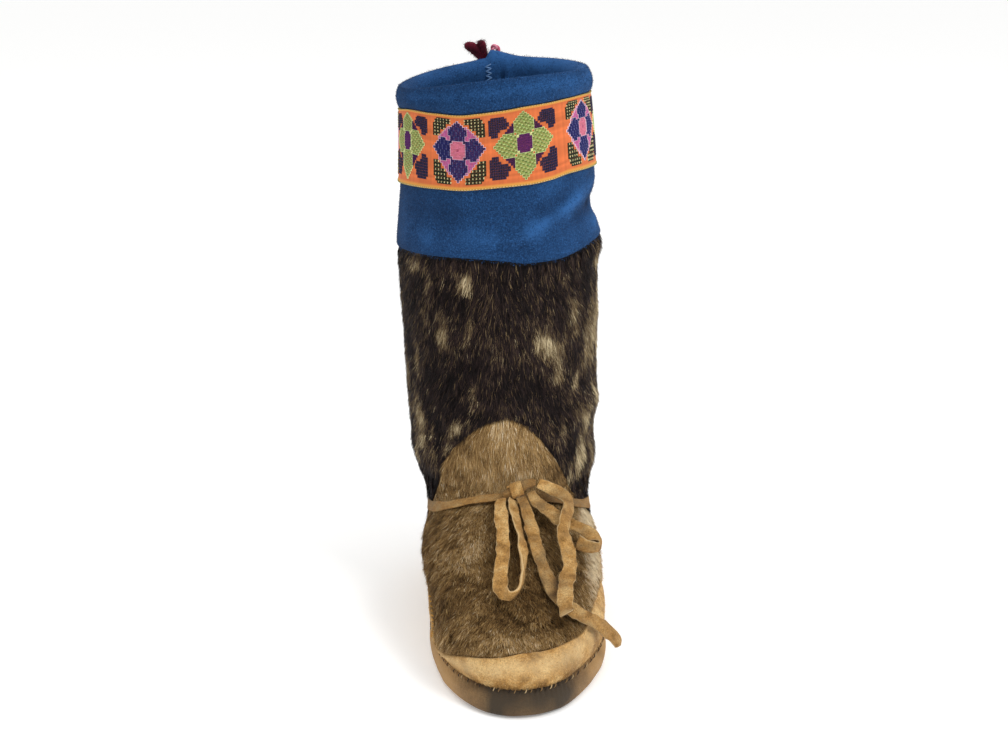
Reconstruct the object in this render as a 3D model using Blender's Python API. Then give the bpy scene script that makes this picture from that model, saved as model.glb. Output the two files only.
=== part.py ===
# Mukluk boot for the left foot: hide sole and rand, fur vamp and leg, felt cuff with a woven band, hide tie.
# Metres, floor at z = 0, toe towards -Y, the wearer's left at +X, origin on the sole under the instep.
import math

import bmesh
import bpy
import numpy as np
from mathutils import Matrix

# Foot sizes
TOE_REACH = 0.157  # from the origin forward to the toe tip
HEEL_REACH = 0.120  # from the origin back to the heel
BALL_WIDTH = 0.109  # widest part of the foot
ANKLE_HEIGHT = 0.092  # floor to the front of the ankle
SOLE_EDGE = 0.0145  # height of the seam that joins the turned-up sole to the rand
RAND_HEIGHT = 0.044  # top edge of the rand along the sides
TOE_INSWING = 0.0025  # how far the toe turns to the inner side

# Leg sizes
BOOT_HEIGHT = 0.348  # floor to the collar
LEG_WIDTH = 0.126
LEG_DEPTH = 0.136
LEG_CENTRE = 0.047  # how far behind the origin the leg stands
LEG_LEAN = 0.012  # how far the collar leans to the inner side
COLLAR_TILT = 0.0062  # how much higher the collar's outer side stands
COLLAR_DIP = 0.004  # how far the collar's sides sag
BACK_PEAK = 0.005  # rise of the collar where its ends are sewn together at the back
VAMP_PEAK = 0.139  # height of the vamp's point on the shin
VAMP_REACH = 15  # how many of the columns either side of the front the vamp's tails run to
CASING_HEIGHT = 0.0165  # rolled hem above the woven band
BAND_WIDTH = 0.046
CUFF_SKIRT = 0.0425  # felt below the woven band
SEAM_SAG = 0.007  # how far the cuff's lower edge sags over the outer side of the shin

# Walls, gaps and swelling
SOLE_WALL = 0.0028
RAND_WALL = 0.0020
FUR_WALL = 0.0036  # hide and the pile lying flat on it
FUR_EDGE = 0.0012  # the bare hide at its seams
FUR_EDGE_REACH = 0.010  # how far from a seam the pile reaches its full depth
FELT_WALL = 0.0040  # two layers of felt
CASING_THICKNESS = 0.0095
BAND_WALL = 0.0011
INSOLE_THICKNESS = 0.0035
GAP = 0.0003  # between pieces that lie on each other
SEAM_GAP = 0.0005  # between pieces that are sewn edge to edge
TIE_GAP = 0.0015  # between the tie and the fur it presses down
TIE_FRONT_GAP = 2.4  # how many times that gap it spans where the foot meets the leg
SLACK = 0.004  # depth of the largest folds and swellings
CINCH = 0.0026  # how deep the tie draws in the ankle
CINCH_SPREAD = 0.013  # and how far above and below it

# Tie sizes
TIE_WIDTH = 0.0072  # the stretched part round the ankle
TIE_WALL = 0.0016
TIE_FRONT = 0.0865  # height of the tie at the knot
TIE_SIDE = 0.068  # and a quarter of the way round
TIE_BACK = 0.058  # and behind the heel
TIE_CORD = 0.0044  # the loose loops and ends, as round cords
KNOT_LENGTH = 0.024
KNOT_THICKNESS = 0.0085
KNOT_ANGLE = math.radians(4)  # where the knot sits round the ankle
KNOT_RISE = math.radians(21)  # how far it leans up to the outer side

# Yarn at the back of the collar
YARN_THICKNESS = 0.0062
TASSEL_RISE = 0.020
TASSEL_REACH = 0.0125
YARN_LOOP_THICKNESS = 0.0030
YARN_LOOP_RISE = 0.0165
YARN_LOOP_WIDTH = 0.0062

# Sections of the foot, up from the floor. Reaches are shares of TOE_REACH and HEEL_REACH, rises of
# ANKLE_HEIGHT, half widths of half BALL_WIDTH, and foot is how much of the foot's outline shows.
FOOT_COLUMNS = ("front", "front_rise", "back", "back_rise", "half", "foot")
FOOT_SECTIONS = (
    (0.700, 0.000, 0.720, 0.000, 0.700, 1.00),
    (0.945, 0.000, 0.930, 0.000, 0.900, 1.00),
    (0.995, 0.035, 0.990, 0.035, 0.985, 1.00),
    (0.990, 0.100, 1.000, 0.100, 1.000, 1.00),
    (0.948, 0.158, 0.990, 0.158, 0.975, 1.00),
    (0.957, 0.240, 0.995, 0.250, 0.980, 1.00),
    (0.937, 0.315, 0.990, 0.390, 0.978, 1.00),
    (0.880, 0.375, 0.980, 0.500, 0.975, 0.95),
    (0.735, 0.490, 0.970, 0.620, 0.990, 0.75),
    (0.490, 0.660, 0.958, 0.750, 1.000, 0.45),
    (0.270, 0.850, 0.950, 0.890, 1.010, 0.15),
)
# Sections of the leg. Reaches are shares of half LEG_DEPTH from the leg's middle, rise of the height
# from ankle to collar, half widths of half LEG_WIDTH, lean of LEG_LEAN and tilt of COLLAR_TILT.
LEG_COLUMNS = ("front", "back", "rise", "half", "lean", "tilt")
LEG_SECTIONS = (
    (0.985, 1.000, 0.000, 0.925, -0.02, 0.00),
    (0.970, 0.990, 0.060, 0.950, 0.05, 0.00),
    (0.960, 0.990, 0.150, 0.968, 0.16, 0.10),
    (0.970, 1.000, 0.330, 0.988, 0.25, 0.35),
    (0.975, 1.000, 0.590, 1.010, 0.40, 0.68),
    (0.950, 0.980, 0.760, 0.982, 0.42, 0.80),
    (0.920, 0.950, 0.930, 0.945, 0.55, 0.95),
    (0.910, 0.935, 1.000, 0.930, 0.64, 1.00),
)
# The foot's outline as a factor on an oval, from toe to heel, on its outer and inner sides
OUTLINE_ALONG = (0.00, 0.10, 0.22, 0.36, 0.50, 0.66, 0.82, 0.93, 1.00)
OUTLINE_OUTER = (1.22, 1.15, 1.16, 1.09, 0.93, 0.86, 0.96, 1.15, 1.28)
OUTLINE_INNER = (1.24, 1.15, 1.07, 1.00, 0.91, 0.86, 0.96, 1.15, 1.28)
# Heights of the rand's top edge by the angle from the front, as shares of RAND_HEIGHT. It comes low over
# the inner side of the toes.
RAND_ANGLES = (-180, -140, -100, -78, -70, -64, -57, -48, -34, -24, -13, 4, 17, 28, 38, 45, 52, 66, 100, 140,
               180)
RAND_UP = (0.95, 0.98, 1.00, 1.00, 0.86, 0.56, 0.38, 0.45, 0.61, 0.68, 0.72, 0.77, 0.77, 0.77, 0.77, 0.84,
           0.93, 1.00, 1.00, 0.98, 0.95)
# How the vamp's upper edge falls from its point to its tails, on its outer and inner sides
VAMP_ALONG = (0.00, 0.08, 0.20, 0.28, 0.36, 0.47, 0.60, 0.80, 1.00)
VAMP_OUTER = (0.00, 0.05, 0.21, 0.36, 0.50, 0.62, 0.70, 0.84, 1.00)
VAMP_INNER = (0.00, 0.03, 0.12, 0.20, 0.31, 0.51, 0.63, 0.83, 1.00)
# How far the cuff's seams sag round the boot, as shares of SEAM_SAG, by the angle from the front
SAG_ANGLES = (-180, -100, -66, -40, -20, 0, 14, 28, 42, 60, 100, 180)
EDGE_SAG = (0.00, -0.20, -0.20, 0.00, 0.20, 0.60, 0.97, 0.95, 0.60, 0.05, -0.20, 0.00)
BAND_LOW_SAG = (0.00, 0.00, -0.10, 0.10, 0.35, 0.30, 0.28, 0.08, -0.25, -0.30, -0.10, 0.00)
BAND_HIGH_SAG = (0.00, -0.20, -0.50, -0.05, 0.35, 0.30, 0.15, 0.05, -0.10, -0.20, -0.10, 0.00)
# Folds and swellings: angle round the boot and height as a share of BOOT_HEIGHT, how far each spreads,
# and its depth as a share of SLACK, outward where it is positive
FOLD_COLUMNS = ("angle", "height", "angle_spread", "height_spread", "depth")
FOLDS = (
    (92, 0.745, 34, 0.034, -1.00),
    (66, 0.690, 40, 0.034, 0.65),
    (-60, 0.760, 40, 0.044, 0.25),
    (15, 0.715, 30, 0.040, 0.30),
    (60, 0.395, 30, 0.034, 0.40),
    (66, 0.325, 34, 0.032, -0.45),
    (-75, 0.300, 34, 0.034, 0.35),
    (-30, 0.350, 34, 0.036, -0.30),
    (-80, 0.150, 34, 0.040, 0.85),
    (74, 0.165, 34, 0.040, 0.20),
    (8, 0.205, 26, 0.034, 0.50),
    (8, 0.145, 42, 0.030, -0.45),
    (168, 0.350, 40, 0.036, -0.55),
    (178, 0.270, 40, 0.036, 0.40),
    (180, 0.700, 60, 0.040, 0.35),
)
# The yarn at the collar, as shares of its reach, its thickness and its rise
TASSEL_SIDE_END = ((-0.25, 0, 0), (-0.32, 0, 0.42), (-0.72, -0.15, 0.70), (-1.25, -0.3, 0.88))
TASSEL_UPPER_END = ((-0.22, 0, 0), (-0.26, 0, 0.48), (-0.38, -0.15, 0.82), (-0.30, -0.25, 1.00))
YARN_LOOP = ((0.36, 0, 0), (0.32, 0, 0.60), (0.46, -0.1, 0.92), (0.76, -0.2, 1.00), (1.04, -0.1, 0.86),
             (1.20, 0, 0.50), (1.22, 0, 0))
# The bow's loops and ends, each from the knot outwards
FRONT_LOOP = (
    (-0.0068, -0.0304, 0.0882), (-0.008, -0.038, 0.0868), (-0.008, -0.049, 0.0830), (-0.008, -0.066, 0.0770),
    (-0.009, -0.079, 0.0690), (-0.011, -0.090, 0.0620), (-0.011, -0.100, 0.0565),
    (-0.006, -0.105, 0.0545), (-0.001, -0.101, 0.0565), (0.002, -0.092, 0.0610),
    (0.0035, -0.080, 0.0680), (0.003, -0.068, 0.0755), (0.001, -0.053, 0.0820),
    (-0.0003, -0.041, 0.0860), (0.0002, -0.0328, 0.0883),
)
LONG_END = (
    (0.0056, -0.0324, 0.0903), (0.007, -0.040, 0.0868), (0.009, -0.049, 0.0815), (0.011, -0.062, 0.0745),
    (0.014, -0.075, 0.0660), (0.017, -0.086, 0.0590), (0.021, -0.098, 0.0530),
    (0.027, -0.107, 0.0490), (0.034, -0.111, 0.0450), (0.042, -0.109, 0.0395),
    (0.050, -0.106, 0.0330), (0.056, -0.103, 0.0260), (0.0605, -0.100, 0.0190),
)
SIDE_LOOP = (
    (0.0113, -0.0320, 0.0930), (0.015, -0.038, 0.0885), (0.021, -0.043, 0.0850), (0.029, -0.049, 0.0810),
    (0.040, -0.054, 0.0770), (0.048, -0.059, 0.0735), (0.051, -0.065, 0.0705),
    (0.049, -0.070, 0.0700), (0.043, -0.071, 0.0715), (0.037, -0.070, 0.0740),
)
SHORT_END = (
    (0.0162, -0.0290, 0.0978), (0.025, -0.031, 0.0945), (0.032, -0.037, 0.0915),
    (0.034, -0.045, 0.0885), (0.031, -0.056, 0.0850), (0.029, -0.065, 0.0780),
    (0.031, -0.076, 0.0700), (0.031, -0.086, 0.0640), (0.028, -0.098, 0.0600),
    (0.026, -0.111, 0.0555), (0.026, -0.121, 0.0495),
)
COLUMNS = 48  # faces round the boot, in step on every piece
TAIL_STOP = 0.25  # how much of a column short of its seam's end the vamp's tails stop
SMALL_STEP = 1e-3  # for slopes taken by differences


def monotone(x, y, at):
    """A smooth curve through the points of a table that never swings past them."""
    x, y = np.asarray(x, float), np.asarray(y, float)
    step = np.diff(x)
    rise = np.diff(y) / step
    slope = np.zeros(len(x))
    same = rise[:-1] * rise[1:] > 0
    before, after = 2 * step[1:] + step[:-1], step[1:] + 2 * step[:-1]
    with np.errstate(divide="ignore", invalid="ignore"):
        mean = (before + after) / (before / rise[:-1] + after / rise[1:])
    slope[1:-1] = np.where(same, mean, 0)
    slope[0], slope[-1] = rise[0], rise[-1]
    i = np.clip(np.searchsorted(x, at, side="right") - 1, 0, len(x) - 2)
    t = (at - x[i]) / step[i]
    return (
        y[i] * (1 + 2 * t) * (1 - t) ** 2
        + y[i + 1] * t**2 * (3 - 2 * t)
        + step[i] * (slope[i] * t * (1 - t) ** 2 - slope[i + 1] * t**2 * (1 - t))
    )


def section_rows():
    """All sections in metres: front y, front z, back y, back z, half width, foot share, lean, tilt."""
    rows = []
    for row in FOOT_SECTIONS:
        s = dict(zip(FOOT_COLUMNS, row))
        rows.append((
            -TOE_REACH * s["front"],
            ANKLE_HEIGHT * s["front_rise"],
            HEEL_REACH * s["back"],
            ANKLE_HEIGHT * s["back_rise"],
            BALL_WIDTH / 2 * s["half"],
            s["foot"],
            0,
            0,
        ))
    for row in LEG_SECTIONS:
        s = dict(zip(LEG_COLUMNS, row))
        up = ANKLE_HEIGHT + (BOOT_HEIGHT - ANKLE_HEIGHT) * s["rise"]
        rows.append((
            LEG_CENTRE - LEG_DEPTH / 2 * s["front"],
            up,
            LEG_CENTRE + LEG_DEPTH / 2 * s["back"],
            up,
            LEG_WIDTH / 2 * s["half"],
            0,
            -LEG_LEAN * s["lean"],
            s["tilt"],
        ))
    return np.array(rows)


ROWS = section_rows()
LAST_ROW = len(ROWS) - 1.0


def level_height(angle, s):
    """Height of section s at an angle, before the collar tilts."""
    index = np.arange(len(ROWS))
    front, back = monotone(index, ROWS[:, 1], s), monotone(index, ROWS[:, 3], s)
    return front + (back - front) * (1 - np.cos(angle)) / 2


def section_at(angle, height):
    """The section that passes through a height at each angle, by halving."""
    angle, height = np.broadcast_arrays(np.asarray(angle, float), np.asarray(height, float))
    low, high = np.ones(angle.shape), np.full(angle.shape, LAST_ROW)
    for _ in range(40):
        middle = (low + high) / 2
        under = level_height(angle, middle) < height
        low, high = np.where(under, middle, low), np.where(under, high, middle)
    return (low + high) / 2


def plain_form(angle, s):
    """The boot's smooth outer form, before folds: angle 0 is the front, a quarter turn the outer side."""
    index = np.arange(len(ROWS))
    front, front_up, back, back_up, half, foot, lean, tilt = (
        monotone(index, ROWS[:, k], s) for k in range(ROWS.shape[1])
    )
    along = (1 - np.cos(angle)) / 2
    side = np.sin(angle)
    outline = np.where(
        side > 0,
        monotone(OUTLINE_ALONG, OUTLINE_OUTER, along),
        monotone(OUTLINE_ALONG, OUTLINE_INNER, along),
    )
    inswing = -TOE_INSWING * foot * (1 - along) ** 2
    return np.stack(
        [
            lean + inswing + half * side * (1 + foot * (outline - 1)),
            front + (back - front) * along,
            front_up + (back_up - front_up) * along + tilt * (COLLAR_TILT * side - COLLAR_DIP * side**2),
        ],
        axis=-1,
    )


def normals_of(surface, angle, s):
    """Outward normals of a surface function, by differences."""
    s_low, s_high = np.maximum(s - SMALL_STEP, 0), np.minimum(s + SMALL_STEP, LAST_ROW)
    across = surface(angle + SMALL_STEP, s) - surface(angle - SMALL_STEP, s)
    upward = surface(angle, s_high) - surface(angle, s_low)
    normal = np.cross(across, upward)
    return normal / np.maximum(np.linalg.norm(normal, axis=-1, keepdims=True), 1e-15)


def turned(angle, about):
    """The angle from about, between minus and plus half a turn."""
    return (angle - about + math.pi) % (2 * math.pi) - math.pi


def tie_height(angle):
    """Height of the tie round the ankle: it drops from the knot to the sides and on behind the heel."""
    front_half = (1 + np.cos(angle)) / 2
    side = np.sin(angle) ** 2
    ends = TIE_BACK + (TIE_FRONT - TIE_BACK) * front_half
    return ends + side * (TIE_SIDE - (TIE_FRONT + TIE_BACK) / 2)


def swelling(angle, s):
    """How far folds, swellings and the tie move the form along its normal."""
    up = level_height(angle, s)
    moved = np.zeros(np.shape(angle))
    for row in FOLDS:
        f = dict(zip(FOLD_COLUMNS, row))
        across = turned(angle, math.radians(f["angle"])) / math.radians(f["angle_spread"])
        upward = (up / BOOT_HEIGHT - f["height"]) / f["height_spread"]
        moved = moved + SLACK * f["depth"] * np.exp(-(across**2) - upward**2)
    drawn = (up - tie_height(angle)) / CINCH_SPREAD
    return moved - CINCH * np.exp(-(drawn**2))


def form(angle, s):
    """The boot's outer form with its folds."""
    angle, s = np.broadcast_arrays(np.asarray(angle, float), np.asarray(s, float))
    return plain_form(angle, s) + normals_of(plain_form, angle, s) * swelling(angle, s)[..., None]


def wall_point(angle, s, outward):
    """A point that lies outward of the form by a distance, or inside it where that is negative."""
    angle, s = np.broadcast_arrays(np.asarray(angle, float), np.asarray(s, float))
    return form(angle, s) + normals_of(form, angle, s) * np.broadcast_to(outward, angle.shape)[..., None]


def beside(angle, seam, distance):
    """The sections of a line that runs above a seam at a distance square to it."""
    s = seam(angle)
    ahead, behind = angle + SMALL_STEP, angle - SMALL_STEP
    along = form(ahead, seam(ahead)) - form(behind, seam(behind))
    along /= np.linalg.norm(along, axis=-1, keepdims=True)
    upward = form(angle, s + SMALL_STEP) - form(angle, s - SMALL_STEP)
    square = np.linalg.norm(upward - (upward * along).sum(-1, keepdims=True) * along, axis=-1)
    return s + distance * 2 * SMALL_STEP / square


def shared_out(angle, s_low, s_high, up):
    """Sections that lie a share of the way up the form from s_low to s_high, and the length of that way."""
    steps = np.linspace(0, 1, 33)[:, None]
    s = s_low + np.maximum(s_high - s_low, 0) * steps
    way = np.cumsum(np.linalg.norm(np.diff(plain_form(angle + 0 * s, s), axis=0), axis=-1), axis=0)
    way = np.vstack([0 * way[:1], way])
    at = np.array([np.interp(share * w[-1], w, column) for share, w, column in zip(up, way.T, s.T)])
    return at, way[-1]


def fur_wall(angle, up, tall):
    """The fur's thickness, which thins to the bare hide at a piece's edges."""
    share = np.clip(np.minimum(up, 1 - up) * tall / FUR_EDGE_REACH, 0, 1)
    return FUR_EDGE + (FUR_WALL - FUR_EDGE) * share


# Seams, as sections for each angle
def sole_seam(angle):
    return section_at(angle, SOLE_EDGE)


def rand_seam(angle):
    return section_at(angle, RAND_HEIGHT * monotone(RAND_ANGLES, RAND_UP, np.degrees(turned(angle, 0))))


def vamp_angle():
    return VAMP_REACH * 2 * math.pi / COLUMNS


def vamp_seam(angle):
    """The vamp's upper edge, which comes down to the rand at its two tails."""
    share = np.clip(np.abs(turned(angle, 0)) / vamp_angle(), 0, 1)
    fall = np.where(
        turned(angle, 0) > 0,
        monotone(VAMP_ALONG, VAMP_OUTER, share),
        monotone(VAMP_ALONG, VAMP_INNER, share),
    )
    height = VAMP_PEAK - (VAMP_PEAK - RAND_HEIGHT) * fall
    return np.where(share < 1, np.maximum(section_at(angle, height), rand_seam(angle)), rand_seam(angle))


def tie_line(angle):
    return section_at(angle, tie_height(angle))


def sagging(angle, height, sag):
    """The sections of a seam round the leg that sags from its height by the shares of a table."""
    return section_at(angle, height - SEAM_SAG * monotone(SAG_ANGLES, sag, np.degrees(turned(angle, 0))))


def cuff_seam(angle):
    return sagging(angle, BOOT_HEIGHT - CASING_HEIGHT - BAND_WIDTH - CUFF_SKIRT, EDGE_SAG)


def band_low(angle):
    return sagging(angle, BOOT_HEIGHT - CASING_HEIGHT - BAND_WIDTH, BAND_LOW_SAG)


def band_high(angle):
    return sagging(angle, BOOT_HEIGHT - CASING_HEIGHT, BAND_HIGH_SAG)


def collection(name):
    made = bpy.data.collections.new(name)
    bpy.context.scene.collection.children.link(made)
    return made


def material(name, colour, roughness):
    made = bpy.data.materials.new(name)
    made.use_nodes = True
    shader = made.node_tree.nodes["Principled BSDF"]
    shader.inputs["Base Color"].default_value = (*colour, 1)
    shader.inputs["Roughness"].default_value = roughness
    shader.inputs["Metallic"].default_value = 0
    made.diffuse_color = (*colour, 1)
    return made


def add_object(name, bm, look):
    """Turns a bmesh into a smooth-shaded object with its faces pointing out."""
    bmesh.ops.recalc_face_normals(bm, faces=bm.faces)
    mesh = bpy.data.meshes.new(name)
    bm.to_mesh(mesh)
    bm.free()
    mesh.shade_smooth()
    mesh.set_sharp_from_angle(angle=math.radians(50))
    mesh.materials.append(look)
    made = bpy.data.objects.new(name, mesh)
    boot.objects.link(made)
    return made


def layered_grid(columns, rows, ring):
    """A grid of columns by rows with a second layer behind it. Returns it and each vertex's three shares."""
    bm = bmesh.new()
    layers = [bm.verts.layers.float.new(name) for name in ("across", "up", "depth")]
    across, up, depth = layers
    bmesh.ops.create_grid(bm, x_segments=columns, y_segments=rows, size=0.5)
    for v in bm.verts:
        v[across], v[up] = v.co.x + 0.5, v.co.y + 0.5
    if ring:
        for v in bm.verts:
            turn = 2 * math.pi * v[across]
            v.co = math.cos(turn), math.sin(turn), v[up]
        bmesh.ops.remove_doubles(bm, verts=bm.verts, dist=1e-5)
    back = bmesh.ops.extrude_face_region(bm, geom=bm.faces[:], use_keep_orig=True)["geom"]
    for v in back:
        if isinstance(v, bmesh.types.BMVert):
            v[depth] = 1
    bm.verts.ensure_lookup_table()
    shares = np.array([[v[layer] for layer in layers] for v in bm.verts])
    return bm, shares


def place(bm, points):
    for v, point in zip(bm.verts, points):
        v.co = point


def shell(name, look, up_shares, low, high, outward, wall, reach=None, knee=None):
    """A wall cut from the boot's form between two seams, all round or to a column either side of the front.
    outward and wall may be numbers, or functions of the angle, the share up the piece and its height there.
    A knee is a share up the piece and the seam that it follows."""
    ring = reach is None
    columns = COLUMNS if ring else 2 * reach
    bm, shares = layered_grid(columns, len(up_shares) - 1, ring)
    across, up, depth = shares.T
    angle = 2 * math.pi / COLUMNS * (columns * across - (0 if ring else reach))
    if not ring:
        tail = 2 * math.pi / COLUMNS * (reach - TAIL_STOP)
        angle = np.clip(angle, -tail, tail)
    up = np.interp(up, np.linspace(0, 1, len(up_shares)), up_shares)
    s_low, s_high = beside(angle, low, SEAM_GAP / 2), beside(angle, high, -SEAM_GAP / 2)
    s, tall = shared_out(angle, s_low, s_high, up)
    if knee:
        share, seam = knee
        lower, _ = shared_out(angle, s_low, seam(angle), np.minimum(up / share, 1))
        upper, _ = shared_out(angle, seam(angle), s_high, np.maximum((up - share) / (1 - share), 0))
        s = np.where(up < share, lower, upper)
    lift = outward(angle, up, tall) if callable(outward) else outward
    thick = wall(angle, up, tall) if callable(wall) else wall
    place(bm, wall_point(angle, s, lift - depth * thick))
    bmesh.ops.remove_doubles(bm, verts=bm.verts, dist=2e-5)
    return add_object(name, bm, look)


def outsole(look):
    """The hide sole: a flat bottom whose edge turns up all round to the seam with the rand."""
    bm, shares = layered_grid(COLUMNS, 5, ring=True)
    across, up, depth = shares.T
    angle = 2 * math.pi * across
    s = beside(angle, sole_seam, -SEAM_GAP / 2) * up
    place(bm, wall_point(angle, s, -depth * SOLE_WALL))
    bmesh.ops.remove_doubles(bm, verts=bm.verts, dist=2e-5)
    rims = [v for v, share, deep in zip(bm.verts, up, depth) if share < 1e-6]
    for height in (0, SOLE_WALL):
        loop = [v for v in rims if abs(v.co.z - height) < 1e-5]
        edges = [e for e in bm.edges if all(v in loop for v in e.verts)]
        bmesh.ops.edgeloop_fill(bm, edges=edges)
    between = [
        f for f in bm.faces
        if all(v in rims for v in f.verts) and len({round(v.co.z, 5) for v in f.verts}) > 1
    ]
    bmesh.ops.delete(bm, geom=between, context="FACES_ONLY")
    return add_object("outsole", bm, look)


def insole(look):
    """A felt sole inside, as wide as the sole's flat part."""
    angles = np.linspace(0, 2 * math.pi, 48, endpoint=False)
    outline = plain_form(angles, np.full(len(angles), 0.8))
    low = SOLE_WALL + GAP
    bm = bmesh.new()
    face = bm.faces.new([bm.verts.new((x, y, low)) for x, y, _ in outline])
    top = bmesh.ops.extrude_face_region(bm, geom=[face], use_keep_orig=True)["geom"]
    bmesh.ops.translate(
        bm,
        verts=[v for v in top if isinstance(v, bmesh.types.BMVert)],
        vec=(0, 0, INSOLE_THICKNESS),
    )
    return add_object("insole", bm, look)


def casing_share(up):
    """0 below the rolled hem, rising to 1 at its top."""
    cuff = CASING_HEIGHT + BAND_WIDTH + CUFF_SKIRT
    return np.clip((up * cuff - (cuff - CASING_HEIGHT)) / CASING_HEIGHT, 0, 1)


def roll(up):
    """How full the rolled hem is at a height: nothing at its seam, full in the middle, rounded on top."""
    share = casing_share(up)
    return np.where(share > 0, np.sqrt(np.clip(1 - (2 * share - 1) ** 2, 0, 1)), 0)


def cuff_outward(angle, up, tall):
    """The felt's outer face: it swells at the rolled hem and hangs a little over the fur at its foot."""
    skirt = 0.35 * FELT_WALL * np.exp(-((up / 0.12) ** 2))
    peak = np.exp(-((turned(angle, math.pi) / 0.22) ** 2)) * np.clip((up - 0.9) / 0.1, 0, 1)
    return skirt + 0.14 * CASING_THICKNESS * roll(up) - 0.06 * CASING_THICKNESS * peak


def cuff_wall(angle, up, tall):
    """The felt's thickness, which grows to that of the rolled hem and closes over its top."""
    share = casing_share(up)
    closing = np.where(share > 0.5, np.sqrt(np.clip(1 - (2 * share - 1) ** 2, 0.04, 1)), 1)
    swollen = FELT_WALL + (CASING_THICKNESS - FELT_WALL) * roll(up)
    return np.where(share > 0.5, CASING_THICKNESS * closing, swollen) + 0 * angle


def collar_top(angle):
    """The collar's edge, just short of the last section."""
    return np.full(np.shape(angle), LAST_ROW - 2 * SMALL_STEP)


def build_cuff(look):
    """The felt cuff: skirt, the part behind the woven band, and the rolled hem, in one piece."""
    cuff = CASING_HEIGHT + BAND_WIDTH + CUFF_SKIRT
    below = 1 - CASING_HEIGHT / cuff
    turn = (0, 0.1, 0.3, 0.5, 0.7, 0.88, 0.97, 1)
    skirt = (0, 0.10, 0.28, 0.5, 0.74)
    steps = [below * share for share in skirt] + [below + (1 - below) * share for share in turn]
    knee = (below, band_high)
    made = shell("cuff", look, steps, cuff_seam, collar_top, cuff_outward, cuff_wall, knee=knee)
    for v in made.data.vertices:
        near_back = math.exp(-((v.co.x + LEG_LEAN) / 0.012) ** 2) if v.co.y > LEG_CENTRE else 0
        near_top = min(max((v.co.z - (BOOT_HEIGHT - CASING_HEIGHT)) / CASING_HEIGHT, 0), 1)
        v.co.z += BACK_PEAK * near_back * near_top
    return made


def smooth_route(points, spacing):
    """Points evenly spaced along a smooth curve through the route's own points."""
    points = np.array(points, float)
    padded = np.vstack([2 * points[0] - points[1], points, 2 * points[-1] - points[-2]])
    fine = []
    for a, b, c, d in zip(padded, padded[1:], padded[2:], padded[3:]):
        for t in np.linspace(0, 1, 12, endpoint=False):
            fine.append(0.5 * (2 * b + (c - a) * t + (2 * a - 5 * b + 4 * c - d) * t**2
                               + (3 * b - a - 3 * c + d) * t**3))
    fine = np.array(fine + [points[-1]])
    way = np.concatenate([[0], np.cumsum(np.linalg.norm(np.diff(fine, axis=0), axis=1))])
    at = np.linspace(0, way[-1], max(round(way[-1] / spacing), 2) + 1)
    return np.stack([np.interp(at, way, fine[:, k]) for k in range(3)], axis=1)


def tube(name, look, points, thickness, spacing):
    """A round cord along a smooth curve through its points."""
    curve = bpy.data.curves.new(name, "CURVE")
    curve.dimensions = "3D"
    curve.bevel_depth = thickness / 2
    curve.bevel_resolution = 2
    curve.use_fill_caps = True
    route = smooth_route(points, spacing)
    spline = curve.splines.new("POLY")
    spline.points.add(len(route) - 1)
    for point, place_at in zip(spline.points, route):
        point.co = (*place_at, 1)
    curve.materials.append(look)
    made = bpy.data.objects.new(name, curve)
    boot.objects.link(made)
    return made


def as_mesh(soft):
    """The same tube as a closed mesh, so that it can be joined to another."""
    seen = soft.evaluated_get(bpy.context.evaluated_depsgraph_get())
    mesh = bpy.data.meshes.new_from_object(seen)
    bm = bmesh.new()
    bm.from_mesh(mesh)
    bmesh.ops.remove_doubles(bm, verts=bm.verts, dist=1e-6)
    bmesh.ops.recalc_face_normals(bm, faces=bm.faces)
    bm.to_mesh(mesh)
    bm.free()
    name = soft.name
    bpy.data.objects.remove(soft)
    made = bpy.data.objects.new(name, mesh)
    boot.objects.link(made)
    return made


def behind_collar(thickness):
    """The place of a yarn that lies against the middle of the rolled hem at the back."""
    angle = np.array([math.pi])
    share = np.array([1 - 0.5 * CASING_HEIGHT / (CASING_HEIGHT + BAND_WIDTH + CUFF_SKIRT)])
    outward = cuff_outward(angle, share, None) + GAP + thickness / 2
    middle = section_at(angle, BOOT_HEIGHT - CASING_HEIGHT / 2)
    return wall_point(angle, middle, outward)[0]


def collar_tassel(look):
    """Two ends of thick twisted yarn that rise behind the collar, joined at their foot."""
    ends = []
    for name, route in (("collar_tassel", TASSEL_SIDE_END), ("tassel_upper_end", TASSEL_UPPER_END)):
        scale = np.array([TASSEL_REACH, YARN_THICKNESS, TASSEL_RISE])
        places = behind_collar(YARN_THICKNESS) + np.array(route) * scale
        soft = tube(name, look, places, YARN_THICKNESS, 0.003)
        ends.append(as_mesh(soft))
    side_end, upper_end = ends
    boot.objects.unlink(upper_end)
    cutters.objects.link(upper_end)
    upper_end.hide_render = True
    upper_end.display_type = "WIRE"
    union = side_end.modifiers.new("joined", "BOOLEAN")
    union.operation = "UNION"
    union.object = upper_end


def collar_loop(look):
    """A loop of thinner yarn beside the tassel."""
    scale = np.array([YARN_LOOP_WIDTH, YARN_LOOP_THICKNESS, YARN_LOOP_RISE])
    route = behind_collar(YARN_LOOP_THICKNESS) + np.array(YARN_LOOP) * scale
    tube("collar_loop", look, route, YARN_LOOP_THICKNESS, 0.003)


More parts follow.
